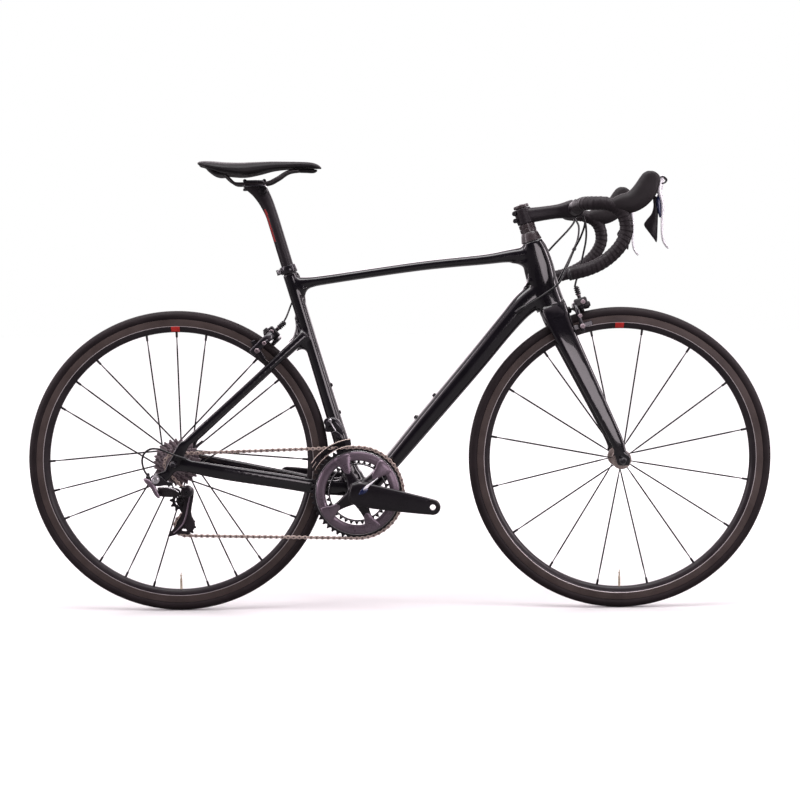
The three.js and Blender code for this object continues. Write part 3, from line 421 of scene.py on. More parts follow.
def annulus(outer, inner, low, high, chamfer=0.4):
    """A flat ring between two outlines of equally many points."""
    outer, inner = np.asarray(outer, float), np.asarray(inner, float)
    count = len(outer)
    small, large = inset(outer, chamfer), inset(inner, -chamfer)
    layers = [(small, low), (outer, low + chamfer), (outer, high - chamfer), (small, high),
              (large, high), (inner, high - chamfer), (inner, low + chamfer), (large, low)]
    verts = np.vstack([np.column_stack([p[:, 0], np.full(count, y), p[:, 1]]) for p, y in layers])
    faces = tube_faces(8, count, closed=True)
    return verts, faces, [0] * len(faces)


def rounded(outline, steps=5):
    """A closed smooth outline through the points."""
    p = np.asarray(outline, float)
    return np.array(spline(np.vstack([p[-1], p, p[0], p[1]]), steps))


def circle(cx, cz, radius, count=32):
    turn = np.arange(count) * 2 * math.pi / count
    return np.column_stack([cx + radius * np.cos(turn), cz + radius * np.sin(turn)])


def box(at, size, x=(1, 0, 0), chamfer=0.8):
    """A block with chamfered edges, its first side along x in the side view."""
    x = np.asarray(x, float) / np.linalg.norm(x)
    up = np.array([-x[2], 0, x[0]])
    a, b, c = np.asarray(size, float) / 2
    k = min(chamfer, a * 0.6, b * 0.6, c * 0.6)
    outline = [[-a, -c + k], [-a + k, -c], [a - k, -c], [a, -c + k], [a, c - k], [a - k, c], [-a + k, c],
               [-a, c - k]]
    return placed(prism(outline, -b, b, k), x, np.cross(up, x), up, at)


def plate(outline, low, high, holes=(), bevel=0.5):
    """A plate with holes and rounded edges."""
    curve = bpy.data.curves.new("outline", "CURVE")
    curve.dimensions = "2D"
    curve.fill_mode = "BOTH"
    curve.extrude = (high - low) / 2 - bevel
    curve.bevel_depth = bevel
    curve.bevel_resolution = 1
    curve.offset = -bevel
    for path in [outline, *holes]:
        line = curve.splines.new("POLY")
        line.points.add(len(path) - 1)
        line.points.foreach_set("co", [v for x, z in path for v in (x, z, 0, 1)])
        line.use_cyclic_u = True
    holder = bpy.data.objects.new("outline", curve)
    bpy.context.scene.collection.objects.link(holder)
    mesh = bpy.data.meshes.new_from_object(holder.evaluated_get(bpy.context.evaluated_depsgraph_get()))
    verts = np.array([v.co for v in mesh.vertices])
    faces = [list(p.vertices) for p in mesh.polygons]
    bpy.data.objects.remove(holder)
    bpy.data.curves.remove(curve)
    bpy.data.meshes.remove(mesh)
    middle = (low + high) / 2
    points = np.column_stack([verts[:, 0], middle - verts[:, 2], verts[:, 1]])
    return points, faces, [0] * len(faces)


def fused(shape, voxel, rounds):
    """One skin round overlapping solids, its creases softened."""
    mesh = bpy.data.meshes.new("rough")
    mesh.from_pydata((shape[0] * MM).tolist(), [], shape[1])
    holder = bpy.data.objects.new("rough", mesh)
    bpy.context.scene.collection.objects.link(holder)
    tidy(mesh)
    skin = holder.modifiers.new("skin", "REMESH")
    skin.mode = "VOXEL"
    skin.voxel_size = voxel * MM
    soft = holder.modifiers.new("soft", "SMOOTH")
    soft.factor = 0.5
    soft.iterations = rounds
    done = bpy.data.meshes.new_from_object(holder.evaluated_get(bpy.context.evaluated_depsgraph_get()))
    verts = np.empty(len(done.vertices) * 3)
    done.vertices.foreach_get("co", verts)
    faces = [list(p.vertices) for p in done.polygons]
    bpy.data.objects.remove(holder)
    bpy.data.meshes.remove(mesh)
    bpy.data.meshes.remove(done)
    return verts.reshape(-1, 3) / MM, faces, [0] * len(faces)


def tidy(mesh):
    """Shared points merged and faces turned outward."""
    work = bmesh.new()
    work.from_mesh(mesh)
    bmesh.ops.remove_doubles(work, verts=work.verts, dist=1e-7)
    bmesh.ops.dissolve_degenerate(work, edges=work.edges, dist=1e-8)
    bmesh.ops.recalc_face_normals(work, faces=work.faces)
    work.to_mesh(mesh)
    work.free()


def piece(name, shape, look, body, replaces=(), sharp=38):
    """A mesh object with its material, riding on its body."""
    verts, faces, marks = shape
    looks = look if isinstance(look, (list, tuple)) else [look]
    mesh = bpy.data.meshes.new(name)
    mesh.from_pydata((np.asarray(verts) * MM).tolist(), [], faces)
    for item in looks:
        mesh.materials.append(item)
    mesh.polygons.foreach_set("material_index", marks)
    tidy(mesh)
    mesh.polygons.foreach_set("use_smooth", [True] * len(mesh.polygons))
    mesh.set_sharp_from_angle(angle=rad(sharp))
    thing = bpy.data.objects.new(name, mesh)
    bpy.context.scene.collection.objects.link(thing)
    if body:
        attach(thing, body)
    name = looks[0].name.removesuffix("_look")
    if replaces:
        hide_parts(*replaces)
    return thing


# ------------------------------------------------------------------ frame
def head_row(z, fore, aft, width):
    at = steer((z - steer_foot[2]) / steer_up[2], (fore - aft) / 2)
    return row(at[0], at[2], fore + aft, width, square=2.5)


def seat_row(z, depth, width):
    return row(seat_x(z), z, depth, width, square=2.5)


def fillet(corner, a, b, reach, width):
    """A web in the corner between two tubes: hollow between the directions a and b, thin at its edge."""
    corner, a, b = (np.asarray(v, float) for v in (corner, a, b))
    a, b = a / np.linalg.norm(a), b / np.linalg.norm(b)
    slices = []
    levels = np.linspace(-1, 1, 11)
    for level in levels:
        size = reach * (1 - min(abs(level), 0.98) ** 2) ** 0.5 + 2
        start, end = corner + a * size, corner + b * size
        back = corner - (a + b) * 9
        t = np.linspace(0, 1, 9)[:, None]
        bow = (1 - t) ** 2 * start + 2 * t * (1 - t) * corner + t ** 2 * end
        slices.append(np.vstack([back - a * 4, bow, back - b * 4]))
    count = len(slices[0])
    verts = np.vstack([np.column_stack([s[:, 0], np.full(count, level * width / 2), s[:, 1]])
                       for s, level in zip(slices, levels)])
    return capped(verts, len(slices), count)


def make_frame():
    head = loft([head_row(674, 31, 34, 56), head_row(700, 29, 36, 52), head_row(730, 29, 37, 46),
                 head_row(765, 31, 35, 44), head_row(798, 29, 30, 46), head_row(818, 23, 23, 46)], 40)
    seat = loft([seat_row(262, 62, 44), seat_row(300, 50, 40), seat_row(340, 36, 36), seat_row(560, 30, 33),
                 seat_row(700, 31, 33), seat_row(752, 32, 33)], 40)
    top = loft([row(-232, 727, 42, 28), row(-205, 731, 27, 32), row(-150, 739, 21, 35), row(50, 766, 21, 37),
                row(190, 779, 23, 38), row(250, 786.5, 29, 38), row(315, 790, 46, 38)], 40)
    down = loft([row(-96, 252, 46, 52), row(-40, 304, 37, 50), row(60, 421, 42, 48), row(165, 544, 46, 48),
                 row(245, 640, 48, 48), row(289, 686, 55, 46), row(345, 720, 60, 40)], 40)
    shell = across(bracket[0], bracket[2], [[-34, 24], [34, 24]], segments=48)
    parts = [head, seat, top, down, shell]
    for sign in (-1, 1):
        parts.append(loft([row(-98, 274, 34, 15, sign * 25), row(-150, 277, 34, 14, sign * 26.5),
                           row(-195, 281.5, 33, 15, sign * 28), row(-260, 294, 33, 16, sign * 39),
                           row(-380, 316, 33, 15, sign * 60), row(-448, 330, 29, 11, sign * 69),
                           row(-476, 336, 20, 8, sign * 69)]))
        parts.append(loft([row(-472, 375, 18, 8, sign * 68.5), row(-440, 404, 18, 12, sign * 64),
                           row(-340, 494, 18, 13, sign * 44), row(-255, 571, 20, 14, sign * 26),
                           row(-203, 618, 24, 18, sign * 12)]))
        outline = rounded([[-512, 325], [-509, 310], [-501, 305], [-494, 315], [-484, 321], [-470, 320],
                           [-452, 320], [-452, 344], [-468, 353], [-460, 376], [-477, 387], [-498, 352]], 4)
        low, high = sorted((sign * 65.2, sign * 71.8))
        parts.append(prism(outline, low, high, 0.8))
    hang = rounded([[-514, 322], [-502, 320], [-501, 308], [-508, 299], [-520, 294], [-538, 295],
                    [-542, 307], [-532, 315]], 4)
    parts.append(prism(hang, -72.5, -66, 0.8))
    bridge_at = rear_pivot - 40 * stay_back + 4.5 * stay_up
    parts.append(box(bridge_at, [14, 44, 11], stay_up, chamfer=2))
    seat_line = seat_up[[0, 2]]
    stay_line = stay_up[[0, 2]]
    parts += [
        fillet((-210, 718), -seat_line, (0.98, 0.17), 26, 32),
        fillet((-219, 622), seat_line, -stay_line, 34, 34),
        fillet((-205, 598), -seat_line, -stay_line, 34, 34),
        fillet((330, 676), (-0.76, -0.65), (1, 0.02), 30, 44),
        fillet((283, 770), (-1, 0), (0.29, -0.956), 27, 38),
        fillet((291, 730), (-0.29, 0.956), (-0.66, -0.75), 17, 38),
    ]
    for sign in (-1, 1):
        parts.append(moved(fillet((-122, 292), seat_line, (-1, 0.05), 22, 12), (0, sign * 22, 0)))
    skin = fused(merged(*parts), 2.4, 7)
    nodes = ["head_tube", "top_tube", "down_tube", "seat_tube", "chainstay_right", "chainstay_left",
             "seatstay_right", "seatstay_left"]
    piece("frame_shell", skin, GLOSS, "frame", nodes, sharp=60)


def frame_fittings():
    """Bottle bolts, cable ports, hanger bolt and seat clamp."""
    down_out = np.array([-0.758, 0, 0.652])
    down_out /= np.linalg.norm(down_out)
    bolts = []
    for x, z in ((55, 417), (96.7, 465.5)):
        foot = np.array([x, 0, z]) + down_out * 20
        bolts.append(spun(foot, down_out, [[0, 6], [1.2, 6], [1.8, 5.2]], 24))
        bolts.append(bolt(foot + down_out * 1.8, down_out, 4.2, 3.0))
    seat_out = np.array([seat_up[2], 0, -seat_up[0]])
    for z in (439, 500):
        foot = np.array([seat_x(z), 0, z]) + seat_out * 14.4
        bolts.append(spun(foot, seat_out, [[0, 6], [1.2, 6], [1.8, 5.2]], 24))
        bolts.append(bolt(foot + seat_out * 1.8, seat_out, 4.2, 2.6))
    piece("bottle_bolts", merged(*bolts), BLACK, "frame")
    ports = []
    for sign in (-1, 1):
        start = np.array([286, sign * 30.5, 677])
        end = np.array([262, sign * 23, 661])
        ports.append(spun(end, start - end, [[0, 5.5], [12, 6.2], [22, 5.4], [27, 3.8], [28.5, 2.9]], 24))
    ports.append(spun((-476, -76, 352), (-1, -0.1, 0.35), [[-12, 3.2], [2, 3.6], [10, 3.6], [11, 2.9]], 20))
    piece("cable_ports", merged(*ports), HOUSING, "frame")
    piece("hanger_bolt", merged(bolt((-531.6, -79.6, 304), (0, -1, 0), 7.6, 3.2),
                                across(-531.6, 304, [[-80.5, 9.2], [-79.5, 9.6], [-78.5, 9.6], [-78.5, 0]])),
          SILVER, "frame")
    low, high = np.array([seat_x(753.5), 0, 753.5]), np.array([seat_x(769), 0, 769])
    collar = spun(low, high - low, [[0, 14], [0, 17.8], [1.2, 18.5], [15, 18.5], [16.2, 17.8], [16.2, 14]],
                  48, closed=True)
    out = np.array([seat_up[2], 0, -seat_up[0]])
    ear = box(np.array([seat_x(761), 0, 761]) - out * 19.5, [12, 15, 10], out, chamfer=2)
    # Painted shade: a thin black sheet stands in the clamp ear's slit.
    slit_shade = box(np.array([seat_x(761), 0, 761]) - out * 21, [13, 1.6, 12], out, chamfer=0.2)
    piece("seat_collar", merged(collar, ear), DARK, "frame", ["seat_clamp"])
    piece("collar_slit_shade", slit_shade, BLACK, "frame")
    at = np.array([seat_x(761), 0, 761]) - out * 20.5
    screw = merged(rod(at + (0, -10, 0), at + (0, 10, 0), 3), bolt(at + (0, -7.5, 0), (0, -1, 0), 4.6, 4))
    piece("collar_screw", screw, SILVER, "frame")
    badge = loft([row(seat_x(757) + 15, 757, 1.2, 4), row(seat_x(750) + 18.5, 750, 3.0, 9),
                  row(seat_x(742) + 20.4, 742, 1.2, 6)], 20, 5)
    piece("collar_wedge", badge, SATIN, "frame")
    cups = []
    for sign in (-1, 1):
        face = across(bracket[0], bracket[2],
                      [[34.5, 12.9], [34.5, 20.6], [36, 21.4], [42.6, 21.4], [44, 20.4],
                       [44, 12.9]], segments=48, closed=True)
        notches = [moved(across(0, 0, [[35.5, 1.2], [42.8, 1.2]], segments=8),
                         (bracket[0] + 21.4 * math.cos(rad(a)), 0, bracket[2] + 21.4 * math.sin(rad(a))))
                   for a in range(0, 360, 22)]
        both = merged(face, *notches)
        cups.append(both if sign > 0 else mirrored(both))
    piece("bracket_cups", merged(*cups), DARK, "frame", ["bottom_bracket"])


# ------------------------------------------------------------------ seatpost and saddle
def make_seatpost():
    half = 13.6 / seat_up[2]

    def post_row(z, back, fore):
        return row(seat_x(z) + (fore - back) / 2, z, fore + back, 27.2, square=2)

    shape = loft([post_row(600, half, half), post_row(780, half, half), post_row(860, half, half),
                  post_row(878, 14.6, 14), post_row(892, 17, 13.6), post_row(908, 21.5, 13),
                  post_row(924, 29, 11.5), post_row(936, 39, 9.5),
                  post_row(942.5, 44, 8)], 40, 10, level=True)
    verts, faces, marks = shape
    marks = list(marks)
    for i, polygon in enumerate(faces):
        middle = verts[polygon].mean(axis=0)
        behind = -13 < middle[0] - seat_x(middle[2]) < -8 and middle[1] < 0
        if behind and 822 < middle[2] < 893:
            marks[i] = 1
    piece("seatpost_tube", (verts, faces, marks), [SATIN, RED_DARK], "seatpost", ["seatpost"], sharp=50)
    pivot = np.array([-293, 0, 934])
    caps = merged(rod(pivot + (0, -16.5, 0), pivot + (0, 16.5, 0), 9.4, 32, 1.6),
                  bolt(pivot + (0, -16.5, 0), (0, -1, 0), 6.2, 1.8),
                  bolt(pivot + (0, 16.5, 0), (0, 1, 0), 6.2, 1.8))
    piece("seatpost_pivot", caps, BLACK, "seatpost")


def make_saddle():
    rows = [row(x, z, depth, width, square=q) for x, z, depth, width, q in (
        (-434, 993.2, 4, 60, 2.4), (-431, 993.8, 9, 88, 2.4), (-421, 993.0, 14, 112, 2.5),
        (-405, 989.2, 21, 128, 2.5), (-373, 982.8, 28, 133, 2.6), (-340, 980.6, 31, 116, 2.6),
        (-308, 983.0, 29, 88, 2.6), (-268, 987.6, 22, 58, 2.6), (-218, 989.4, 17, 42, 2.5),
        (-188, 988.4, 15, 37, 2.4), (-174, 985.4, 12, 31, 2.3), (-166, 982, 6, 22, 2.2))]
    verts, faces, marks = loft(rows, 64, 10)
    # A shallow channel along the middle and wings that fall away at the sides.
    for i, (x, y, z) in enumerate(verts):
        half = np.interp(x, [-360, -240], [66, 26])
        share = min(abs(y) / half, 1)
        if x < -198:
            verts[i, 2] -= 1.8 * math.exp(-(y / 7) ** 2) * min((-198 - x) / 30, 1)
        verts[i, 2] -= np.interp(x, [-330, -200], [5.0, 1.5]) * share ** 3
        if z < np.interp(x, [-434, -373, -338, -268, -166], [995, 982, 979, 985.6, 982.4]):
            verts[i, 2] += 3.0 * (1 - share) * min(max((x + 434) / 40, 0), 1)
    piece("saddle_top", (verts, faces, marks), SADDLE, "saddle", ["saddle"], sharp=60)
    rear = loft([row(-417, 986, 6, 60), row(-408, 980.5, 12, 84), row(-394, 973, 15, 92),
                 row(-380, 970, 10, 80), row(-372, 971, 3, 60)], 40, 8)
    nose = loft([row(-226, 979, 3, 22), row(-214, 978, 8, 26), row(-198, 978, 10, 25), row(-182, 977, 9, 20),
                 row(-174, 978.5, 3, 14)], 32, 6)
    piece("saddle_under", merged(rear, nose), SHELL, "saddle", sharp=60)
    points = [(-390, 30, 977), (-376, 27, 968), (-358, 22, 952), (-340, 22, 949), (-287, 22, 950),
              (-262, 20, 960), (-238, 15, 974.5), (-212, 9, 978), (-196, 6, 978.5), (-190, 0, 978.5)]
    path = points + [(x, -y, z) for x, y, z in points[-2::-1]]
    piece("rails", sweep(path, 3.5, 20, 8), RAIL, "saddle", ["saddle_rails"])


def make_seat_clamp_head():
    cradle = loft([row(-338, 944.6, 3, 20), row(-333, 945.5, 7, 50, square=3.4),
                   row(-312, 945.4, 6, 54, square=4), row(-291, 945, 7, 50, square=3.4),
                   row(-287, 944.6, 3, 20)], 40, 6)
    covers = []
    for sign in (-1, 1):
        covers.append(loft([row(-334, 953, 3, 10, sign * 22), row(-328, 953.6, 6, 14, sign * 22),
                            row(-296, 953.6, 6, 14, sign * 22), row(-290, 953, 3, 10, sign * 22)], 28, 5))
    beam = box((-312, 0, 950.5), [9, 50, 6], chamfer=1.5)
    yokes = []
    for x in (-334, -291):
        yokes.append(rod((x, 0, 938), (x + 0.8, 0, 959.5), 2.5, 16))
        yokes.append(rod((x + 0.4, -7, 956.5), (x + 0.4, 7, 956.5), 4.2, 20))
        yokes.append(spun((x, 0, 940), (0, 0, -1), [[0, 4.6], [4, 4.6], [5, 3.8]], 20))
    piece("rail_cradle", merged(cradle, *covers, beam), DARK, "seatpost", ["seatpost_clamp"])
    piece("cradle_bolts", merged(*yokes), BLACK, "seatpost")


# ------------------------------------------------------------------ fork and cockpit
def make_fork():
    crown = loft([list(steer(367.4)) + [60, 54, 2.5], list(steer(354, 1)) + [59, 62, 2.8],
                  list(steer(338, 3)) + [54, 66, 2.8]], 40)
    parts = [crown, rod(steer(350), steer(594), 14.3, 32)]
    for sign in (-1, 1):
        blade = loft([row(341, 684, 50, 6, sign * 17, 3), row(344, 677, 56, 14, sign * 20, 3),
                      row(350.5, 656, 57, 20, sign * 25.5, 3), row(360, 632, 53, 19, sign * 31.5, 3),
                      row(371.5, 604, 49, 18, sign * 36.5, 3), row(400, 545, 43, 16, sign * 42, 3),
                      row(443, 456, 35, 13.5, sign * 48.5, 3), row(479, 380, 29, 11, sign * 53, 3),
                      row(489, 348, 26, 8, sign * 53.7, 3)], 40)
        # The outer face looks a little forward, so its front edge is nearer the wheel.
        middle = np.interp(blade[0][:, 2], [348, 456, 545, 604, 684], [489, 443, 400, 371.5, 341])
        skew = blade[0][:, 0] - middle
        blade[0][:, 1] -= sign * 0.13 * skew
        parts.append(blade)
        tip = rounded([[473, 354], [477, 340], [480, 328], [484, 324], [503, 324], [508, 328], [505, 352]], 4)
        low, high = sorted((sign * 50.3, sign * 56.8))
        parts.append(prism(tip, low, high, 0.8))
    skin = fused(merged(*parts), 2.2, 7)
    piece("fork_shell", skin, GLOSS, "front_end", ["fork"], sharp=60)
    race = spun(steer(367.5), steer_up, [[0, 26], [2.2, 26.5], [2.2, 0]], 48)
    piece("crown_race", race, SATIN, "front_end")
    piece("fork_bolt", merged(rod(steer(348, 26), steer(348, 63), 3, 16), spun(steer(348, 28), steer_fore,
          [[0, 8], [8, 7.4], [10, 6], [10, 0]], 24)), BLACK, "front_end")
    lugs = [rod((492, sign * 57, 336), (492, sign * 50.4, 336), 8.6, 32, 0.5) for sign in (-1, 1)]
    piece("fork_tips", merged(*lugs), DARK, "front_end")


def make_stem():
    spacers = []
    low = spun(steer(517.8), steer_up, [[0, 15.2], [0, 22.6], [1, 23.2], [13, 20.2], [19.6, 18.6],
                                        [20.8, 17.6], [20.8, 15.2]], 48, closed=True)
    spacers.append(low)
    for start, height in ((539.0, 9.0), (548.3, 9.0)):
        spacers.append(spun(steer(start), steer_up, [[0, 15], [0, 17.4], [0.7, 18], [height - 0.7, 18],
                                                     [height, 17.4], [height, 15]], 48, closed=True))
    piece("spacers", merged(*spacers), SPACER, "front_end", ["headset_spacers"])
    clamp_at, bar_at = steer(575.5), np.array([392.0, 0, 888.0])
    along = (bar_at - clamp_at) / np.linalg.norm(bar_at - clamp_at)
    reach = np.linalg.norm(bar_at - clamp_at)

    def at(d, up=0.0):
        return clamp_at + along * d + np.array([-along[2], 0, along[0]]) * up

    body_rows = [list(at(d)) + [depth, width, square] for d, depth, width, square in (
        (2, 34, 33, 2.6), (16, 33, 34, 2.8), (45, 31, 32, 2.9), (72, 31, 33, 2.9), (88, 35, 38, 3.0),
        (reach - 9, 41, 44, 3.4), (reach - 1.2, 41.5, 44, 3.6))]
    collar = spun(steer(558.2), steer_up, [[0, 17], [0, 18.2], [1, 18.8], [33.6, 18.8], [34.6, 18.2],
                                           [34.6, 17], [34.6, 0]], 48)
    ears = [box(at(-19.5, up), [11, 19, 9], steer_fore, chamfer=2.2) for up in (-8, 8)]
    stem = fused(merged(loft(body_rows, 40, 6), collar, *ears), 1.2, 5)
    piece("stem_body", stem, SATIN, "front_end", ["stem"], sharp=50)
    screws = [merged(rod(at(-21.5, up) + (0, -10.5, 0), at(-21.5, up) + (0, 10.5, 0), 3.6),
                     bolt(at(-21.5, up) + (0, -10, 0), (0, -1, 0), 4.8, 4)) for up in (-8, 8)]
    piece("stem_screws", merged(*screws), BLACK, "front_end")
    face = []
    turn = np.linspace(-rad(82), rad(82), 25)
    start = math.atan2(along[2], along[0])
    outer = [[bar_at[0] + 20.3 * math.cos(start + t), bar_at[2] + 20.3 * math.sin(start + t)] for t in turn]
    inner = [[bar_at[0] + 16.3 * math.cos(start + t), bar_at[2] + 16.3 * math.sin(start + t)]
             for t in turn[::-1]]
    face.append(prism(outer + inner, -21.5, 21.5, 0.9))
    for up in (-14.5, 14.5):
        for y in (-14, 14):
            face.append(spun(at(reach + 1, up) + (0, y, 0), along, [[0, 5], [11, 5], [12, 4.2]], 20))
    piece("faceplate", merged(*face), SATIN, "front_end", ["stem_faceplate"])
    heads = [bolt(at(reach + 13, up) + (0, y, 0), along, 3.6, 2.6) for up in (-14.5, 14.5) for y in (-14, 14)]
    piece("faceplate_bolts", merged(*heads), BLACK, "front_end")
    cap = merged(spun(steer(594), steer_up, [[0, 16], [0.6, 17.2], [5, 17.4], [6.6, 16.4], [7, 14], [6.4, 9],
                                             [6.4, 0]], 48), bolt(steer(600), steer_up, 5.2, 2.4))
    piece("top_cap", cap, SPACER, "front_end", ["stem_top_cap"])


def bar_points(sign):
    """The handlebar's line from the clamp outward and down to the end of the drop."""
    return [(x, sign * y, z) for x, y, z in (
        (392, 36, 888), (392, 60, 888), (392, 110, 888), (392, 150, 888), (397, 180, 888), (414, 200, 887),
        (438, BAR_Y, 885), (462, BAR_Y, 874), (475, BAR_Y, 855), (478, BAR_Y, 828), (469, BAR_Y, 804),
        (451, BAR_Y, 782), (426, BAR_Y, 763), (396, BAR_Y, 750), (362, BAR_Y, 742))]


def make_handlebar():
    bare = across(392, 888, [[-64, 12.6], [-52, 13], [-40, 15.6], [-33, 15.9], [33, 15.9], [40, 15.6],
                             [52, 13], [64, 12.6]], segments=48)
    piece("bar_centre", bare, SATIN, "front_end")
    lead = 10.0

    def wrap(length, angle):
        """The overlap of one turn of tape on the next makes a soft step."""
        share = (length / lead + angle / (2 * math.pi)) % 1.0
        return 13.6 + 1.2 * share ** 1.2 - 1.1 * max(share - 0.8, 0) / 0.2

    for side, sign in (("right", -1), ("left", 1)):
        taped = sweep(bar_points(sign)[1:], wrap, 40, 32)
        end = np.array(bar_points(sign)[-1], float)
        before = np.array(bar_points(sign)[-2], float)
        out = (end - before) / np.linalg.norm(end - before)
        plug = spun(end - out * 2, out, [[0, 13], [2.4, 14.4], [4.4, 14.6], [6.4, 13.2], [7.4, 9], [7.6, 0]],
                    32)
        taped_node = piece(f"bar_tape_{side}", taped, TAPE, "front_end", sharp=80)
        if sign < 0:
            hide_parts("handlebar")
        piece(f"bar_plug_{side}", plug, HOUSING, "front_end")
        band = across(392, 888, [[57, 13.4], [57.5, 14.6], [66, 14.7], [66.5, 13.4]], segments=40,
                      closed=False)
        piece(f"tape_band_{side}", band if sign > 0 else mirrored(band), HOUSING, "front_end")


def make_levers():
    for side, sign in (("right", -1), ("left", 1)):
        y = sign * BAR_Y
        hood = loft([row(446, 883, 22, 25, y), row(456, 883, 33, 30, y), row(470, 884.5, 41, 34, y),
                     row(488, 888, 44, 35, y), row(504, 898, 47, 34, y), row(517, 913, 48, 33, y),
                     row(525, 928, 45, 31, y), row(530, 940, 38, 29, y), row(532.5, 947, 26, 25, y),
                     row(533.5, 950, 10, 16, y)], 40, 8)
        piece(f"hood_cover_{side}", hood, RUBBER, "front_end", [f"brake_hood_{side}"], sharp=70)
        body = f"brake_lever_{side}"
        spine = loft([row(551.5, 943, 6, 9, y, 3), row(550, 936, 11, 13, y, 3),
                      row(547.5, 923, 12.5, 14, y, 3), row(546.5, 910, 12, 13, y, 3),
                      row(550, 895, 9, 12.5, y, 3), row(552.6, 878, 6.6, 12, y, 3),
                      row(551.6, 850, 5.4, 12, y, 3), row(551.4, 826, 5.2, 11.5, y, 3),
                      row(554.5, 808, 5.2, 11, y, 3), row(561, 797, 5.2, 10, y, 3),
                      row(565, 792.5, 4, 8, y, 3)], 32, 8)
        piece(f"lever_blade_{side}", spine, BRIGHT, body, [body], sharp=60)
        inner = loft([row(543.5, 903, 3, 7, y, 2.6), row(543.6, 894, 9, 10, y, 2.6),
                      row(544.6, 881, 10.4, 10.5, y, 2.6), row(546.0, 868, 7, 10, y, 2.6),
                      row(547.6, 856, 3.2, 8, y, 2.6)], 28, 6)
        piece(f"lever_inside_{side}", inner, NAVY, body, sharp=60)
        tongue = y - sign * 2
        outline = rounded([[533, 898], [540, 899], [543, 888], [543.4, 866], [542.6, 836], [541, 806],
                           [535, 812], [526, 824], [515, 840], [519, 850], [530, 864], [534, 880]], 5)
        piece(f"paddle_{side}", prism(outline, tongue - 2.2, tongue + 2.2, 1.0), SATIN, f"shift_lever_{side}",
              [f"shift_lever_{side}"], sharp=50)
        loop = [(546, y - 6, 938), (553, y - 6, 939), (560, y - 6, 933), (557, y - 6, 927), (549, y - 6, 925)]
        other = [(x, 2 * y - v, z) for x, v, z in loop]
        piece(f"lever_plate_{side}", merged(sweep(loop, 1.5, 10, 5), sweep(other, 1.5, 10, 5)), BLACK, body)


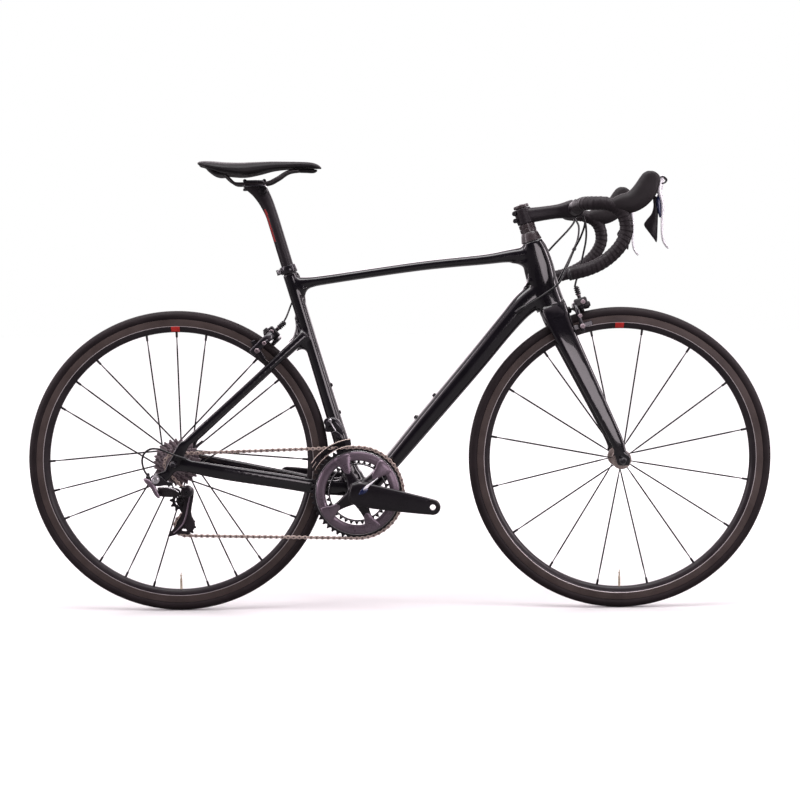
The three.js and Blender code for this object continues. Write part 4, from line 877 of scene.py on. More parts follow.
# ------------------------------------------------------------------ wheels
def make_wheel(end, axle, spokes, flanges, old):
    """Everything that turns with one wheel, and the parts of its axle that stay still."""
    body = f"{end}_wheel"
    at = (axle[0], 0, axle[2])
    tread = [[-9.8, 316.8], [-10.6, 318.0], [-11.9, 320.4], [-12.5, 323.6], [-12.1, 327.2], [-10.5, 330.6],
             [-7.9, 333.2], [-4.6, 335.2], [-1.6, 335.9]]
    tyre = tread + [[-y, r] for y, r in tread[::-1]] + [[8.6, 314.0], [-8.6, 314.0]]
    piece(f"{end}_tyre_skin", spun(at, ACROSS, tyre, 180, closed=True), TYRE, body, [f"{end}_tyre"], sharp=50)
    # Faces marked 1 carry the painted highlight band, faces marked 2 the brake track.
    half = [(0, 288.4, 0), (-2.6, 288.8, 0), (-5.2, 290.2, 0), (-8.2, 293.2, 0), (-10.3, 297.2, 0),
            (-11.25, 301.2, 1), (-11.45, 302.3, 2), (-11.5, 303.0, 2), (-11.45, 315.8, 2), (-11.1, 317.2, 0),
            (-9.6, 317.4, 0)]
    profile = [[y, r] for y, r, _ in half] + [[-y, r] for y, r, _ in half[:0:-1]]
    marks = [m for _, _, m in half[:-1]] + [0] + [m for _, _, m in half[-2:0:-1]] + [0]
    rim = spun(at, ACROSS, profile, 180, numbers=marks, closed=True)
    piece(f"{end}_rim_skin", rim, [RIM, RIM_HIGHLIGHT, BRAKE_TRACK], body, [f"{end}_rim"], sharp=50)
    blades, nipples = [], []
    for rim_turn, root_turn, root_radius, y in spokes:
        start = np.array([math.cos(root_turn) * root_radius, y, math.sin(root_turn) * root_radius])
        way = heading(rim_turn)
        finish = way * 289.5 + (0, math.copysign(1.2, y), 0)
        run = finish - start
        along = run / np.linalg.norm(run)
        thin = ACROSS - along * along[1]
        thin /= np.linalg.norm(thin)
        broad = np.cross(thin, along)
        length = np.linalg.norm(run)
        rows = []
        for share, a, b in ((0, 1.25, 1.25), (0.05, 1.25, 1.25), (0.09, 0.6, 1.75), (0.86, 0.6, 1.75),
                            (0.90, 1.2, 1.3), (1, 1.2, 1.3)):
            turn = np.arange(8) * math.pi / 4
            rows.append(start + along * length * share + np.outer(np.cos(turn) * a, thin)
                        + np.outer(np.sin(turn) * b, broad))
        faces = tube_faces(len(rows), 8)
        faces += [list(range(8)), list(range(40, 48))]
        blades.append((np.vstack(rows) + at, faces, [0] * len(faces)))
        nipples.append(moved(spun(finish - along * 13, along, [[0, 1.8], [0.8, 2.5], [13, 2.7]], 12), at))
    piece(f"{end}_spokes", merged(*blades), SPOKE, body, [f"{end}_hub_and_spokes"])
    piece(f"{end}_nipples", merged(*nipples), BLACK, body)
    (right_y, right_r), (left_y, left_r) = flanges
    hub = [[right_y - 3.2, 9.6], [right_y - 3.2, right_r - 1], [right_y - 2, right_r + 1.8],
           [right_y + 2, right_r + 1.8], [right_y + 3.2, right_r - 1], [right_y + 5, right_r * 0.62],
           [right_y + 10, 14], [right_y + 17, 12.4], [left_y - 16, 12.4], [left_y - 9, 13.6],
           [left_y - 5, left_r * 0.66], [left_y - 3.2, left_r - 1], [left_y - 2, left_r + 1.8],
           [left_y + 2, left_r + 1.8], [left_y + 3.2, left_r - 1], [left_y + 3.2, 9.6]]
    piece(f"{end}_hub", spun(at, ACROSS, hub, 48, closed=True), BRONZE if end == "front" else ANODISED, body)
    stem = spun((at[0], 0, at[2] - 289.5), (0, 0, 1),
                [[0, 3.2], [2.2, 3.2], [2.6, 2.7], [24, 2.6], [24.4, 1.7], [29, 1.5], [29.4, 2.5],
                 [32.5, 2.5], [33, 1.0], [38, 0.9], [38, 0]], 16)
    piece(f"{end}_valve", stem, BRASS, body)
    patches = []
    for sign in (-1, 1):
        strip = []
        for t in np.linspace(rad(88.3), rad(92.0), 7):
            for y, r in ((11.6, 301.2), (10.3, 295.6), (6.6, 289.9)):
                strip.append([at[0] + r * math.cos(t), sign * y, at[2] + r * math.sin(t)])
        faces = [[i * 3 + k, i * 3 + k + 1, i * 3 + k + 4, i * 3 + k + 3] for i in range(6) for k in range(2)]
        front = np.array(strip)
        deep = front - np.array([0, sign * 0.9, 0])
        count = len(front)
        edge = [0, 3, 6, 9, 12, 15, 18, 19, 20, 17, 14, 11, 8, 5, 2, 1]
        walls = [[edge[k], edge[(k + 1) % 16], edge[(k + 1) % 16] + count, edge[k] + count]
                 for k in range(16)]
        polygons = faces + [[i + count for i in f] for f in faces] + walls
        patches.append((np.vstack([front, deep]), polygons, [0] * len(polygons)))
    piece(f"{end}_rim_patches", merged(*patches), RED, body)

    # The axle ends, the nut on the drive side and the cam head on the other stay with the frame or fork.
    holder = "frame" if end == "rear" else "front_end"
    tip = old / 2
    axle_shape = spun(at, ACROSS, [[-tip - 5, 2.9], [-tip - 5, 4.4], [-tip + 0.4, 4.4], [-tip + 0.4, 8.6],
                                   [-tip + 5, 9.2], [tip - 5, 9.2], [tip - 0.4, 8.6], [tip - 0.4, 4.4],
                                   [tip + 5, 4.4], [tip + 5, 2.9]], 32, closed=True)
    piece(f"{end}_axle_ends", axle_shape, SILVER, holder, [f"{end}_hub_axle"])
    outer = tip + 7.35
    nut = spun(at, ACROSS, [[-outer - 12, 0], [-outer - 12, 4.4], [-outer - 11, 5.4], [-outer - 6, 7.2],
                            [-outer - 3.4, 9], [-outer, 9], [-outer, 2.6], [outer, 2.6], [outer, 8.6],
                            [outer + 1, 9.2], [outer + 8, 8.6], [outer + 9, 7.4], [outer + 9, 0]], 32)
    piece(f"{end}_release_rod", nut, DARK, holder, [f"{end}_skewer"])
    lie = steer_up if end == "front" else stay_up
    lever_y = outer + 9.35
    points = [np.array(at) + lie * d + np.array([0, lever_y + up, 0])
              for d, up in ((2, 2.6), (14, 2.8), (30, 2.4), (46, 2.2), (56, 2.4))]
    handle = sweep(points, lambda s, t: 2.1 + 2.4 * math.sin(min(s / 54, 1) * math.pi * 0.8 + 0.5) ** 2, 24,
                   8)
    flat = handle[0].copy()
    flat[:, 1] = (lever_y + 2.4) + (flat[:, 1] - lever_y - 2.4) * 0.48
    piece(f"{end}_release_lever", merged((flat, handle[1], handle[2]),
                                         spun(np.array(at) + (0, lever_y, 0), ACROSS,
                                              [[0, 6.4], [0.6, 7], [3.8, 6.6], [4.4, 5.6], [4.4, 0]], 28)),
          DARK, f"{end}_qr_lever", [f"{end}_qr_lever"])


def make_wheels():
    front = []
    for i in range(16):
        turn = rad(12.5 + 22.5 * i)
        front.append((turn, turn, 19, -35 if i % 2 else 35))
    make_wheel("front", front_axle, front, ((-35, 20), (35, 20)), 100)
    rear = []
    crossing, flange = 29.6, 32
    for i in range(7):
        middle = rad(90 + 360 * i / 7)
        rear.append((middle, middle, 19, 37))
        for way in (-1, 1):
            rim = middle + way * rad(13.3)
            rear.append((rim, rim + way * (math.asin(crossing / flange) - math.asin(crossing / 289)),
                         flange - 1, -19))
    make_wheel("rear", rear_axle, rear, ((-19, flange), (37, 20)), 130)


# ------------------------------------------------------------------ drivetrain
def toothed(teeth, start, centre_at, tip=2.7):
    """The outline of a sprocket whose teeth stand between the rollers. start is the first tooth's angle."""
    radius = pitch_radius(teeth)
    half = math.pi / teeth
    flank = [(0.13, tip), (0.30, tip * 0.62), (0.46, -0.6), (0.62, -2.4), (0.86, -3.65)]
    shape = [(-share, height) for share, height in flank[::-1]] + flank
    out = []
    for k in range(teeth):
        middle = start + 2 * math.pi * k / teeth
        for share, height in shape:
            t, r = middle + share * half, radius + height
            out.append([centre_at[0] + r * math.cos(t), centre_at[2] + r * math.sin(t)])
    return np.array(out)


def polar(outline, centre_at, radius):
    """An inner outline with one point for each of the outline's: radius is a function of angle."""
    turn = np.arctan2(outline[:, 1] - centre_at[2], outline[:, 0] - centre_at[0])
    r = np.array([radius(t) for t in turn])
    return np.column_stack([centre_at[0] + r * np.cos(turn), centre_at[2] + r * np.sin(turn)])


def chain_line():
    """Places of the chain's pins round the large ring, the smallest cog and both pulleys."""
    wheels = [(bracket[0], bracket[2], pitch_radius(50)), (rear_axle[0], rear_axle[2], pitch_radius(11)),
              (guide_centre[0], guide_centre[2], -pitch_radius(11)),
              (tension_centre[0], tension_centre[2], pitch_radius(11))]
    heading = []
    for (ax, az, ar), (bx, bz, br) in zip(wheels, wheels[1:] + wheels[:1]):
        span = math.hypot(bx - ax, bz - az)
        heading.append(math.atan2(bz - az, bx - ax) - math.asin((br - ar) / span))
    path = []
    for i, (x, z, r) in enumerate(wheels):
        start, way = heading[i - 1], math.copysign(1, r)
        passed = ((heading[i] - start) * way) % (2 * math.pi)
        for k in range(121):
            turn = start + way * passed * k / 120
            path.append([x + r * math.sin(turn), z - r * math.cos(turn)])
    path = np.array(path + path[:1])
    length = np.concatenate([[0], np.cumsum(np.linalg.norm(np.diff(path, axis=0), axis=1))])
    count = 2 * round(length[-1] / PITCH / 2)
    where = np.arange(count) * length[-1] / count
    return np.column_stack([np.interp(where, length, path[:, 0]), np.interp(where, length, path[:, 1])])


def chain_y(x):
    share = min(max((x + 465) / (bracket[0] + 465 - 14), 0), 1)
    return CHAIN_Y_COG + (CHAIN_Y_RING - CHAIN_Y_COG) * share


def make_chain(pins):
    waist = []
    for sign in (1, -1):
        for t in np.linspace(rad(-112), rad(112), 9):
            waist.append([sign * (PITCH / 2 + 4.1 * math.cos(t)), sign * 4.1 * math.sin(t)])
        waist.append([0, sign * 2.1])
    waist = np.array(waist)
    inner = merged(prism(waist, -2.0, -1.15, 0.25), prism(waist, 1.15, 2.0, 0.25))
    outer = merged(prism(waist * (1, 0.96), -2.75, -2.05, 0.22), prism(waist * (1, 0.96), 2.05, 2.75, 0.22))
    pin = merged(spun((0, 0, 0), ACROSS, [[-3.1, 1.4], [-2.9, 2.0], [2.9, 2.0], [3.1, 1.4]], 12),
                 spun((0, 0, 0), ACROSS, [[-1.1, 3.8], [1.1, 3.8]], 14))
    links, rollers = [], []
    for i, (a, b) in enumerate(zip(pins, np.roll(pins, -1, axis=0))):
        from_y, to_y = chain_y(a[0]), chain_y(b[0])
        run = np.array([b[0] - a[0], to_y - from_y, b[1] - a[1]])
        along = run / np.linalg.norm(run)
        up = np.array([-along[2], 0, along[0]])
        up /= np.linalg.norm(up)
        side = np.cross(up, along)
        middle = np.array([(a[0] + b[0]) / 2, (from_y + to_y) / 2, (a[1] + b[1]) / 2])
        links.append(placed(outer if i % 2 else inner, along, side, up, middle))
        rollers.append(placed(pin, along, side, up, (a[0], from_y, a[1])))
    piece("chain_links", merged(*links), CHAIN, "frame", ["chain"], sharp=45)
    piece("chain_pins", merged(*rollers), COG_DARK, "frame", sharp=45)


def make_cassette(pins):
    cogs, shaded, carriers = [], [], []
    near = pins[np.hypot(pins[:, 0] - rear_axle[0], pins[:, 1] - rear_axle[2]) < 24]
    first = math.atan2(near[0][1] - rear_axle[2], near[0][0] - rear_axle[0]) + math.pi / 11
    for i, teeth in enumerate((11, 12, 13, 14, 15, 16, 17, 19, 21, 23, 25)):
        y = CHAIN_Y_COG + 3.7 * i + (0 if i else -0.1)
        outline = toothed(teeth, first if i == 0 else first + 0.13 * i, rear_axle)
        lobes = 5 if teeth > 16 else 1
        body = pitch_radius(teeth)

        def hollow(t, body=body, lobes=lobes, i=i):
            if lobes == 1:
                return 16.5
            return body - 8.2 - (body - 24) * 0.55 * max(math.cos(5 * t + i * 0.4), 0) ** 2

        tone = shaded if i % 2 else cogs
        tone.append(annulus(outline, polar(outline, rear_axle, hollow), y - 0.85, y + 0.85, 0.25))
        if i > 5:
            arm = circle(rear_axle[0], rear_axle[2], 1, 60)
            outer = polar(arm, rear_axle,
                          lambda t, b=body, i=i: b - 6.5 - 7 * (1 - max(math.cos(5 * t + 0.9), 0)))
            carriers.append(annulus(outer, polar(arm, rear_axle, lambda t: 16.6), y + 0.9, y + 2.7, 0.3))
        elif i < 10:
            arm = circle(rear_axle[0], rear_axle[2], 1, 48)
            outer = polar(arm, rear_axle, lambda t: 19.5 if i > 1 else 17.4)
            cogs.append(annulus(outer, polar(arm, rear_axle, lambda t: 16.5), y + 0.8, y + 2.9, 0.2))
    lock = spun(rear_axle, ACROSS, [[-61.6, 9.6], [-61.9, 12], [-61.6, 15.6], [-60.6, 16.4], [-58, 16.6],
                                    [-22, 16.6], [-21, 15.6], [-21, 9.6]], 44, closed=True)
    piece("cogs", merged(*cogs, lock), COG, "freehub", ["cassette"], sharp=40)
    piece("cogs_shaded", merged(*shaded), COG_DARK, "freehub", sharp=40)
    piece("cog_carriers", merged(*carriers), COPPER, "freehub", sharp=40)


def make_chainset(pins):
    ring_pins = pins[np.hypot(pins[:, 0] - bracket[0], pins[:, 1] - bracket[2]) < 101.5]
    first = math.atan2(ring_pins[5][1] - bracket[2], ring_pins[5][0] - bracket[0]) + math.pi / 50
    spider = [rad(a) for a in (44, 113, 214, 293)]

    def off_spider(t):
        return min(abs((t - s + math.pi) % (2 * math.pi) - math.pi) for s in spider)

    def bump(t, width):
        return math.exp(-(off_spider(t) / width) ** 4)

    outline = toothed(50, first, bracket)
    inner = polar(outline, bracket, lambda t: 71.6 - 3.0 * bump(t, 0.16))
    teeth_ring = annulus(outline, inner, CHAIN_Y_RING - 1.5, CHAIN_Y_RING + 1.2, 0.45)
    piece("outer_ring_teeth", teeth_ring, BLACK, "crankset", ["chainring_outer"], sharp=40)
    # The outer ring's face is a hollow-sculpted band that swells towards the spider's ends.
    steps = 240
    turn = np.arange(steps) * 2 * math.pi / steps
    layers = []
    for low_share, y in ((0.0, -47.3), (0.04, -49.6), (0.16, -51.6), (0.5, -51.2), (0.9, -49.4),
                         (1.0, -47.3)):
        reach = np.array([(71.2 - 3.0 * bump(t, 0.16)) * (1 - low_share) + 91.6 * low_share for t in turn])
        swell = np.array([1.4 * bump(t, 0.24) if 0.1 < low_share < 0.9 else 0 for t in turn])
        layers.append(np.column_stack([bracket[0] + reach * np.cos(turn), y - swell,
                                       bracket[2] + reach * np.sin(turn)]))
    faces = tube_faces(len(layers), steps, closed=True)
    piece("outer_ring_face", (np.vstack(layers), faces, [0] * len(faces)), MAUVE, "crankset", sharp=50)
    # Painted highlight: a thin silver ring at 92 to 93 mm on the outer ring's face.
    line = circle(bracket[0], bracket[2], 1, 160)
    piece("outer_ring_painted_highlight", annulus(polar(line, bracket, lambda t: 93.0),
                                     polar(line, bracket, lambda t: 92.1),
                                     -48.4, -47.3, 0.2), SILVER, "crankset")
    small = toothed(34, 0.05, bracket)
    inner_ring = annulus(small, polar(small, bracket, lambda t: 61.5 - 6 * bump(t, 0.12)), -39.6, -37.2, 0.4)
    # Painted highlight: a thin silver ring at 64 mm on the inner ring's face.
    highlight_circle = circle(bracket[0], bracket[2], 1, 120)
    bright = annulus(polar(highlight_circle, bracket, lambda t: 64.9), polar(highlight_circle, bracket, lambda t: 63.8), -40.3, -39.4,
                     0.2)
    piece("inner_ring_teeth", inner_ring, BLACK, "crankset", ["chainring_inner"], sharp=40)
    piece("inner_ring_painted_highlight", bright, SILVER, "crankset")

    droop = rad(-10.1)

    def arm_rows(sign):
        along = heading(droop) * -sign
        out = []
        for d, depth, width, y, q in ((-16, 38, 14, 63, 2.6), (0, 52, 17, 64.5, 2.6),
                                      (30, 54, 16, 66.5, 2.8), (70, 50, 14.5, 69, 3.0),
                                      (110, 44.5, 13.5, 71, 3.2), (150, 38.5, 13, 72, 3.2),
                                      (CRANK_LENGTH, 35, 13, 72, 3.0)):
            at = bracket + along * d
            out.append([at[0], sign * y, at[2], depth, width, q])
        eye = bracket + along * CRANK_LENGTH
        return out, eye

    def end_disc(eye, sign):
        return across(eye[0], eye[2], [[sign * 66.0, 15.8], [sign * 67.2, 17.2], [sign * 77.2, 17.2],
                                       [sign * 78.4, 15.8]], segments=48)

    def eye_liner(eye, sign):
        profile = [[78.8, 6.4], [78.8, 7.2], [78, 8], [66.4, 8], [65.6, 7.2], [65.6, 6.4]]
        return across(eye[0], eye[2], [[sign * y, r] for y, r in profile], segments=40, closed=True)

    rows, eye = arm_rows(-1)
    parts = [loft(rows, 40, 8), end_disc(eye, -1)]
    for angle in spider:
        way = heading(angle)
        arm = []
        for d, depth, width, y in ((6, 40, 16, -60), (24, 30, 13, -58), (43, 21, 10, -55.4),
                                   (60, 18, 8.4, -54.0), (RING_BOLT_RADIUS, 20, 7.4, -53.4),
                                   (87, 17, 5, -52.4)):
            at = bracket + way * d
            arm.append([at[0], y, at[2], depth, width, 2.5])
        parts.append(loft(arm, 32, 6))
    parts.append(across(bracket[0], bracket[2], [[-66, 20], [-64, 23], [-52, 25], [-50, 24]], segments=48))
    shape = fused(merged(*parts), 1.25, 8)
    skin = piece("crank_arm_right", shape, CRANK, "crankset", ["crank_right"], sharp=60)
    cut_hole(skin, eye, 7.0)
    piece("crank_eye_right", eye_liner(eye, -1), ANODISED, "crankset")
    feet = []
    for angle in spider:
        way = heading(angle)
        foot = []
        for d, depth, y in ((40, 8, -56.5), (52, 15, -56.4), (64, 22, -55.8), (RING_BOLT_RADIUS, 32, -54.6),
                            (85, 36, -53.4), (90, 28, -51.6)):
            at = bracket + way * d
            foot.append([at[0], y, at[2], depth, 6.5, 2.2])
        feet.append(loft(foot, 32, 6))
    piece("ring_feet", merged(*feet), MAUVE, "crankset", sharp=60)
    studs = []
    for angle in spider:
        at = bracket + heading(angle) * RING_BOLT_RADIUS
        studs.append(bolt(at + (0, -51.6, 0), (0, -1, 0), 4.6, 3.0))
        studs.append(bolt(at + (0, -35.6, 0), (0, 1, 0), 5.2, 2.2))
        studs.append(rod(at + (0, -51, 0), at + (0, -36, 0), 3.6, 16))
    piece("ring_bolts", merged(*studs), BLACK, "crankset")
    rows, eye = arm_rows(1)
    left = fused(merged(loft(rows, 40, 8), end_disc(eye, 1),
                        across(bracket[0], bracket[2], [[56, 22], [58, 23.4], [74, 23], [77, 20]],
                               segments=48)), 1.4, 6)
    skin = piece("crank_arm_left", left, CRANK, "crankset", ["crank_left"], sharp=60)
    cut_hole(skin, eye, 7.0)
    piece("crank_eye_left", eye_liner(eye, 1), ANODISED, "crankset")
    spindle = merged(across(bracket[0], bracket[2],
                            [[-66.5, 0], [-66.5, 9], [-65.5, 12], [77.6, 12], [78.6, 10.5],
                             [78.6, 0]], segments=40),
                     bolt(bracket + (0, 78.4, 0), (0, 1, 0), 8, 2))
    piece("spindle", spindle, SILVER, "crankset")
    # Painted highlight: a thin leaf of bright alloy along the spider arm at 37 degrees stands for light
    # mirrored on the arm's edge.
    highlight_heading = heading(rad(37))
    highlight_rows = [[*(bracket + highlight_heading * d)[[0, 2]], depth, 2.4, y] for d, depth, y in (
        (17, 1.0, -75.4), (25, 5.6, -73.9), (34, 4.6, -70.2), (46, 2.4, -64.8), (58, 0.8, -60.8))]
    piece("crank_painted_highlight", loft([row(x, z, depth, width, y) for x, z, depth, width, y in highlight_rows], 20, 6), BRIGHT,
          "crankset", sharp=60)
    # Painted reflection: a navy leaf beside it stands for a blue glint on the spider arm.
    blue_glint_rows = [[*(bracket + highlight_heading * d + (0.6, 0, -3.2))[[0, 2]], depth, 3.0, y] for d, depth, y in (
        (4, 2.0, -74.4), (14, 11, -74.6), (24, 12, -73.0), (34, 7, -69.4), (42, 1.6, -66.4))]
    piece("crank_painted_blue_glint", loft([row(x, z, depth, width, y) for x, z, depth, width, y in blue_glint_rows], 20, 6), NAVY,
          "crankset", sharp=60)
    cap = across(bracket[0], bracket[2], [[-68.6, 0], [-68.4, 10], [-67.4, 12.4], [-64, 13], [-64, 0]],
                 segments=40)
    piece("crank_cap", cap, NAVY, "crankset")
    pinch = [rod(bracket + np.array([-math.cos(droop) * 22, 60 + 4 * k, -math.sin(droop) * 22 + 14]),
                 bracket + np.array([-math.cos(droop) * 22, 60 + 4 * k, -math.sin(droop) * 22 - 18]), 2.4)
             for k in (0, 3)]
    piece("pinch_screws", merged(*pinch), BLACK, "crankset")


def cut_hole(thing, at, radius):
    """A round hole along Y through the piece."""
    tool_mesh = bpy.data.meshes.new("drill")
    shape = across(at[0], at[2], [[-95, radius], [95, radius]], segments=48)
    tool_mesh.from_pydata((shape[0] * MM).tolist(), [], shape[1])
    tidy(tool_mesh)
    tool = bpy.data.objects.new("drill", tool_mesh)
    bpy.context.scene.collection.objects.link(tool)
    step = thing.modifiers.new("hole", "BOOLEAN")
    step.operation = "DIFFERENCE"
    step.solver = "EXACT"
    step.object = tool
    done = bpy.data.meshes.new_from_object(thing.evaluated_get(bpy.context.evaluated_depsgraph_get()))
    thing.modifiers.remove(step)
    thing.data = done
    done.set_sharp_from_angle(angle=rad(50))
    bpy.data.objects.remove(tool)
    bpy.data.meshes.remove(tool_mesh)


def make_pulleys(pins):
    for name, at, body in (("guide", guide_centre, "guide_pulley"),
                           ("tension", tension_centre, "tension_pulley")):
        near = pins[np.hypot(pins[:, 0] - at[0], pins[:, 1] - at[2]) < 23.5]
        first = math.atan2(near[0][1] - at[2], near[0][0] - at[0]) + math.pi / 11
        outline = toothed(11, first, at, tip=2.3)
        web = annulus(outline, polar(outline, at, lambda t: 12.6), at[1] - 1.2, at[1] + 1.2, 0.3)
        hub = spun((at[0], at[1], at[2]), ACROSS,
                   [[-2.4, 3.3], [-2.4, 6.4], [-1.6, 7.6], [1.6, 7.6], [2.4, 6.4],
                    [2.4, 3.3]], 30, closed=True)
        arms = []
        for k in range(5):
            t = first + 2 * math.pi * k / 5
            way = heading(t)
            arms.append(box(at + way * 10, [8, 1.8, 3.6], way, chamfer=0.4))
        piece(f"{name}_wheel", merged(web, hub, *arms), BLACK, body, [body], sharp=40)


def make_rear_derailleur():
    bracket_arm = prism(rounded([[-507, 300], [-494, 298], [-497, 290], [-512, 291], [-524, 289], [-540, 292],
                                 [-545, 300], [-541, 312], [-530, 315], [-518, 310]], 4), -79, -72.8, 1.2)
    body = fused(bracket_arm, 0.8, 4)
    piece("mech_body", body, DARK, "frame", ["rear_derailleur_body"], sharp=60)
    lobe = loft([row(-558, 305, 4, 7, -73), row(-553, 302.5, 10, 11, -73.5), row(-545, 297, 13, 13, -75),
                 row(-537, 288, 11, 12, -77.5), row(-532, 278, 10, 9, -79.5), row(-527, 269, 8, 6, -81),
                 row(-523, 264, 3, 4, -81)], 28, 7)
    piece("mech_lobe", lobe, MAUVE, "frame", sharp=60)
    barrel = spun((-549, -72, 301), (0.02, 0, 1),
                  [[-3, 3.6], [2, 3.8], [3, 4.6], [9, 4.8], [10, 3.9], [16, 3.6], [17, 2.8]], 20)
    piece("mech_barrel", barrel, BLACK, "frame")
    a, b = link_root, link_tip
    out = np.array([0, -1.0, 0])

    def plate_rows(shift, thick, tall):
        rows = []
        for share, height, wide in ((-0.02, tall * 0.7, thick), (0.1, tall * 0.95, thick * 1.1),
                                    (0.45, tall, thick), (0.75, tall * 0.9, thick),
                                    (0.92, tall * 0.6, thick * 0.8)):
            at = a + (b - a) * share + out * shift
            rows.append(row(at[0], at[2] - 0.5, height, wide, at[1]))
        return rows

    link = fused(merged(loft(plate_rows(4.6, 3.8, 23), 28, 6), loft(plate_rows(-3.2, 3.4, 15), 28, 6),
                        rod(a - link_axis * 10, a + link_axis * 8, 6.0, 24)), 0.8, 4)
    piece("mech_link", link, ANODISED, "derailleur_link", ["rear_derailleur_link"], sharp=60)
    # Painted highlight: a thin silver line along the top edge of the link.
    highlight_arc = [a + (b - a) * share + np.array([0, -7.4, rise]) for share, rise in (
        (0.04, 8.6), (0.25, 9.8), (0.5, 8.6), (0.72, 5.4), (0.88, 0.5))]
    piece("mech_link_painted_highlight", sweep(highlight_arc, 1.1, 10, 6), SILVER, "derailleur_link")
    piece("mech_link_pin", rod(a - link_axis * 11.4, a + link_axis * 9.2, 2.6, 16), BLACK, "derailleur_link")
    drum = merged(across(-463, 277, [[-88.6, 8], [-87.6, 11], [-84, 13], [-68, 13.2], [-66.8, 12.2]],
                         segments=40),
                  rod(b - link_axis * 11, b - link_axis * 8.8, 7, 24),
                  rod(b + link_axis * 9.4, b + link_axis * 11, 7, 24),
                  box((-469, -84, 287.5), [12, 8, 3], chamfer=1),
                  box((-469, -84, 266.5), [12, 8, 3], chamfer=1))
    piece("mech_knuckle", drum, ANODISED, "derailleur_knuckle", ["rear_derailleur_knuckle"])
    piece("mech_knuckle_bolt", bolt((-463, -88.2, 277), (0, -1, 0), 5.0, 1.4), BLACK, "derailleur_knuckle")
    outline = rounded([[-474, 284], [-462, 289], [-450.5, 282], [-450.5, 266], [-454.5, 244], [-457, 222],
                       [-452, 212], [-450, 200], [-455, 188], [-466, 182.5], [-484, 182], [-505, 176.5],
                       [-507.5, 181], [-493, 198], [-484, 215], [-476.5, 228], [-473, 240], [-471, 256],
                       [-471, 270]], 4)
    slot = rounded([[-485, 190], [-470, 187], [-461, 190.6], [-470, 194]], 4)
    gap = rounded([[-491, 197.4], [-484, 205], [-478.6, 218], [-484, 215]], 4)
    outer = plate(outline, -66.2, -64.4, [slot, gap], 0.4)
    inner_outline = rounded([[-486, 262], [-474, 264], [-462, 256], [-459, 240], [-457, 222], [-452, 210],
                             [-450, 198], [-456, 187], [-468, 183], [-486, 182.5], [-504, 178], [-506, 181.5],
                             [-490, 198], [-483, 216], [-477, 236], [-488, 246], [-491, 255]], 4)
    inner = plate(inner_outline, -55.0, -53.4, [slot, gap], 0.4)
    struts = merged(rod((-505, -66, 179.4), (-505, -53.6, 179.4), 1.7, 14),
                    rod(guide_centre + (0, -6.6, 0), guide_centre + (0, 6, 0), 2.7, 16),
                    rod(tension_centre + (0, -6.6, 0), tension_centre + (0, 6, 0), 2.7, 16))
    piece("mech_cage", merged(outer, inner, struts), SATIN, "derailleur_cage", ["rear_derailleur_cage"],
          sharp=50)
    rib = [(-458, -66.6, 272), (-460, -66.8, 258), (-464, -66.8, 240), (-468, -66.6, 222), (-474, -66.6, 206),
           (-484, -66.6, 194), (-496, -66.4, 184)]
    piece("mech_cage_rib", sweep(rib, lambda s, t: 1.2 + 0.9 * math.sin(min(s / 100, 1) * math.pi), 12, 6),
          MAUVE,
          "derailleur_cage")
    caps = merged(bolt(guide_centre + (0, -6.6, 0), (0, -1, 0), 4.4, 1.6),
                  bolt(tension_centre + (0, -6.6, 0), (0, -1, 0), 4.4, 1.6))
    piece("pulley_bolts", caps, BLACK, "derailleur_cage")


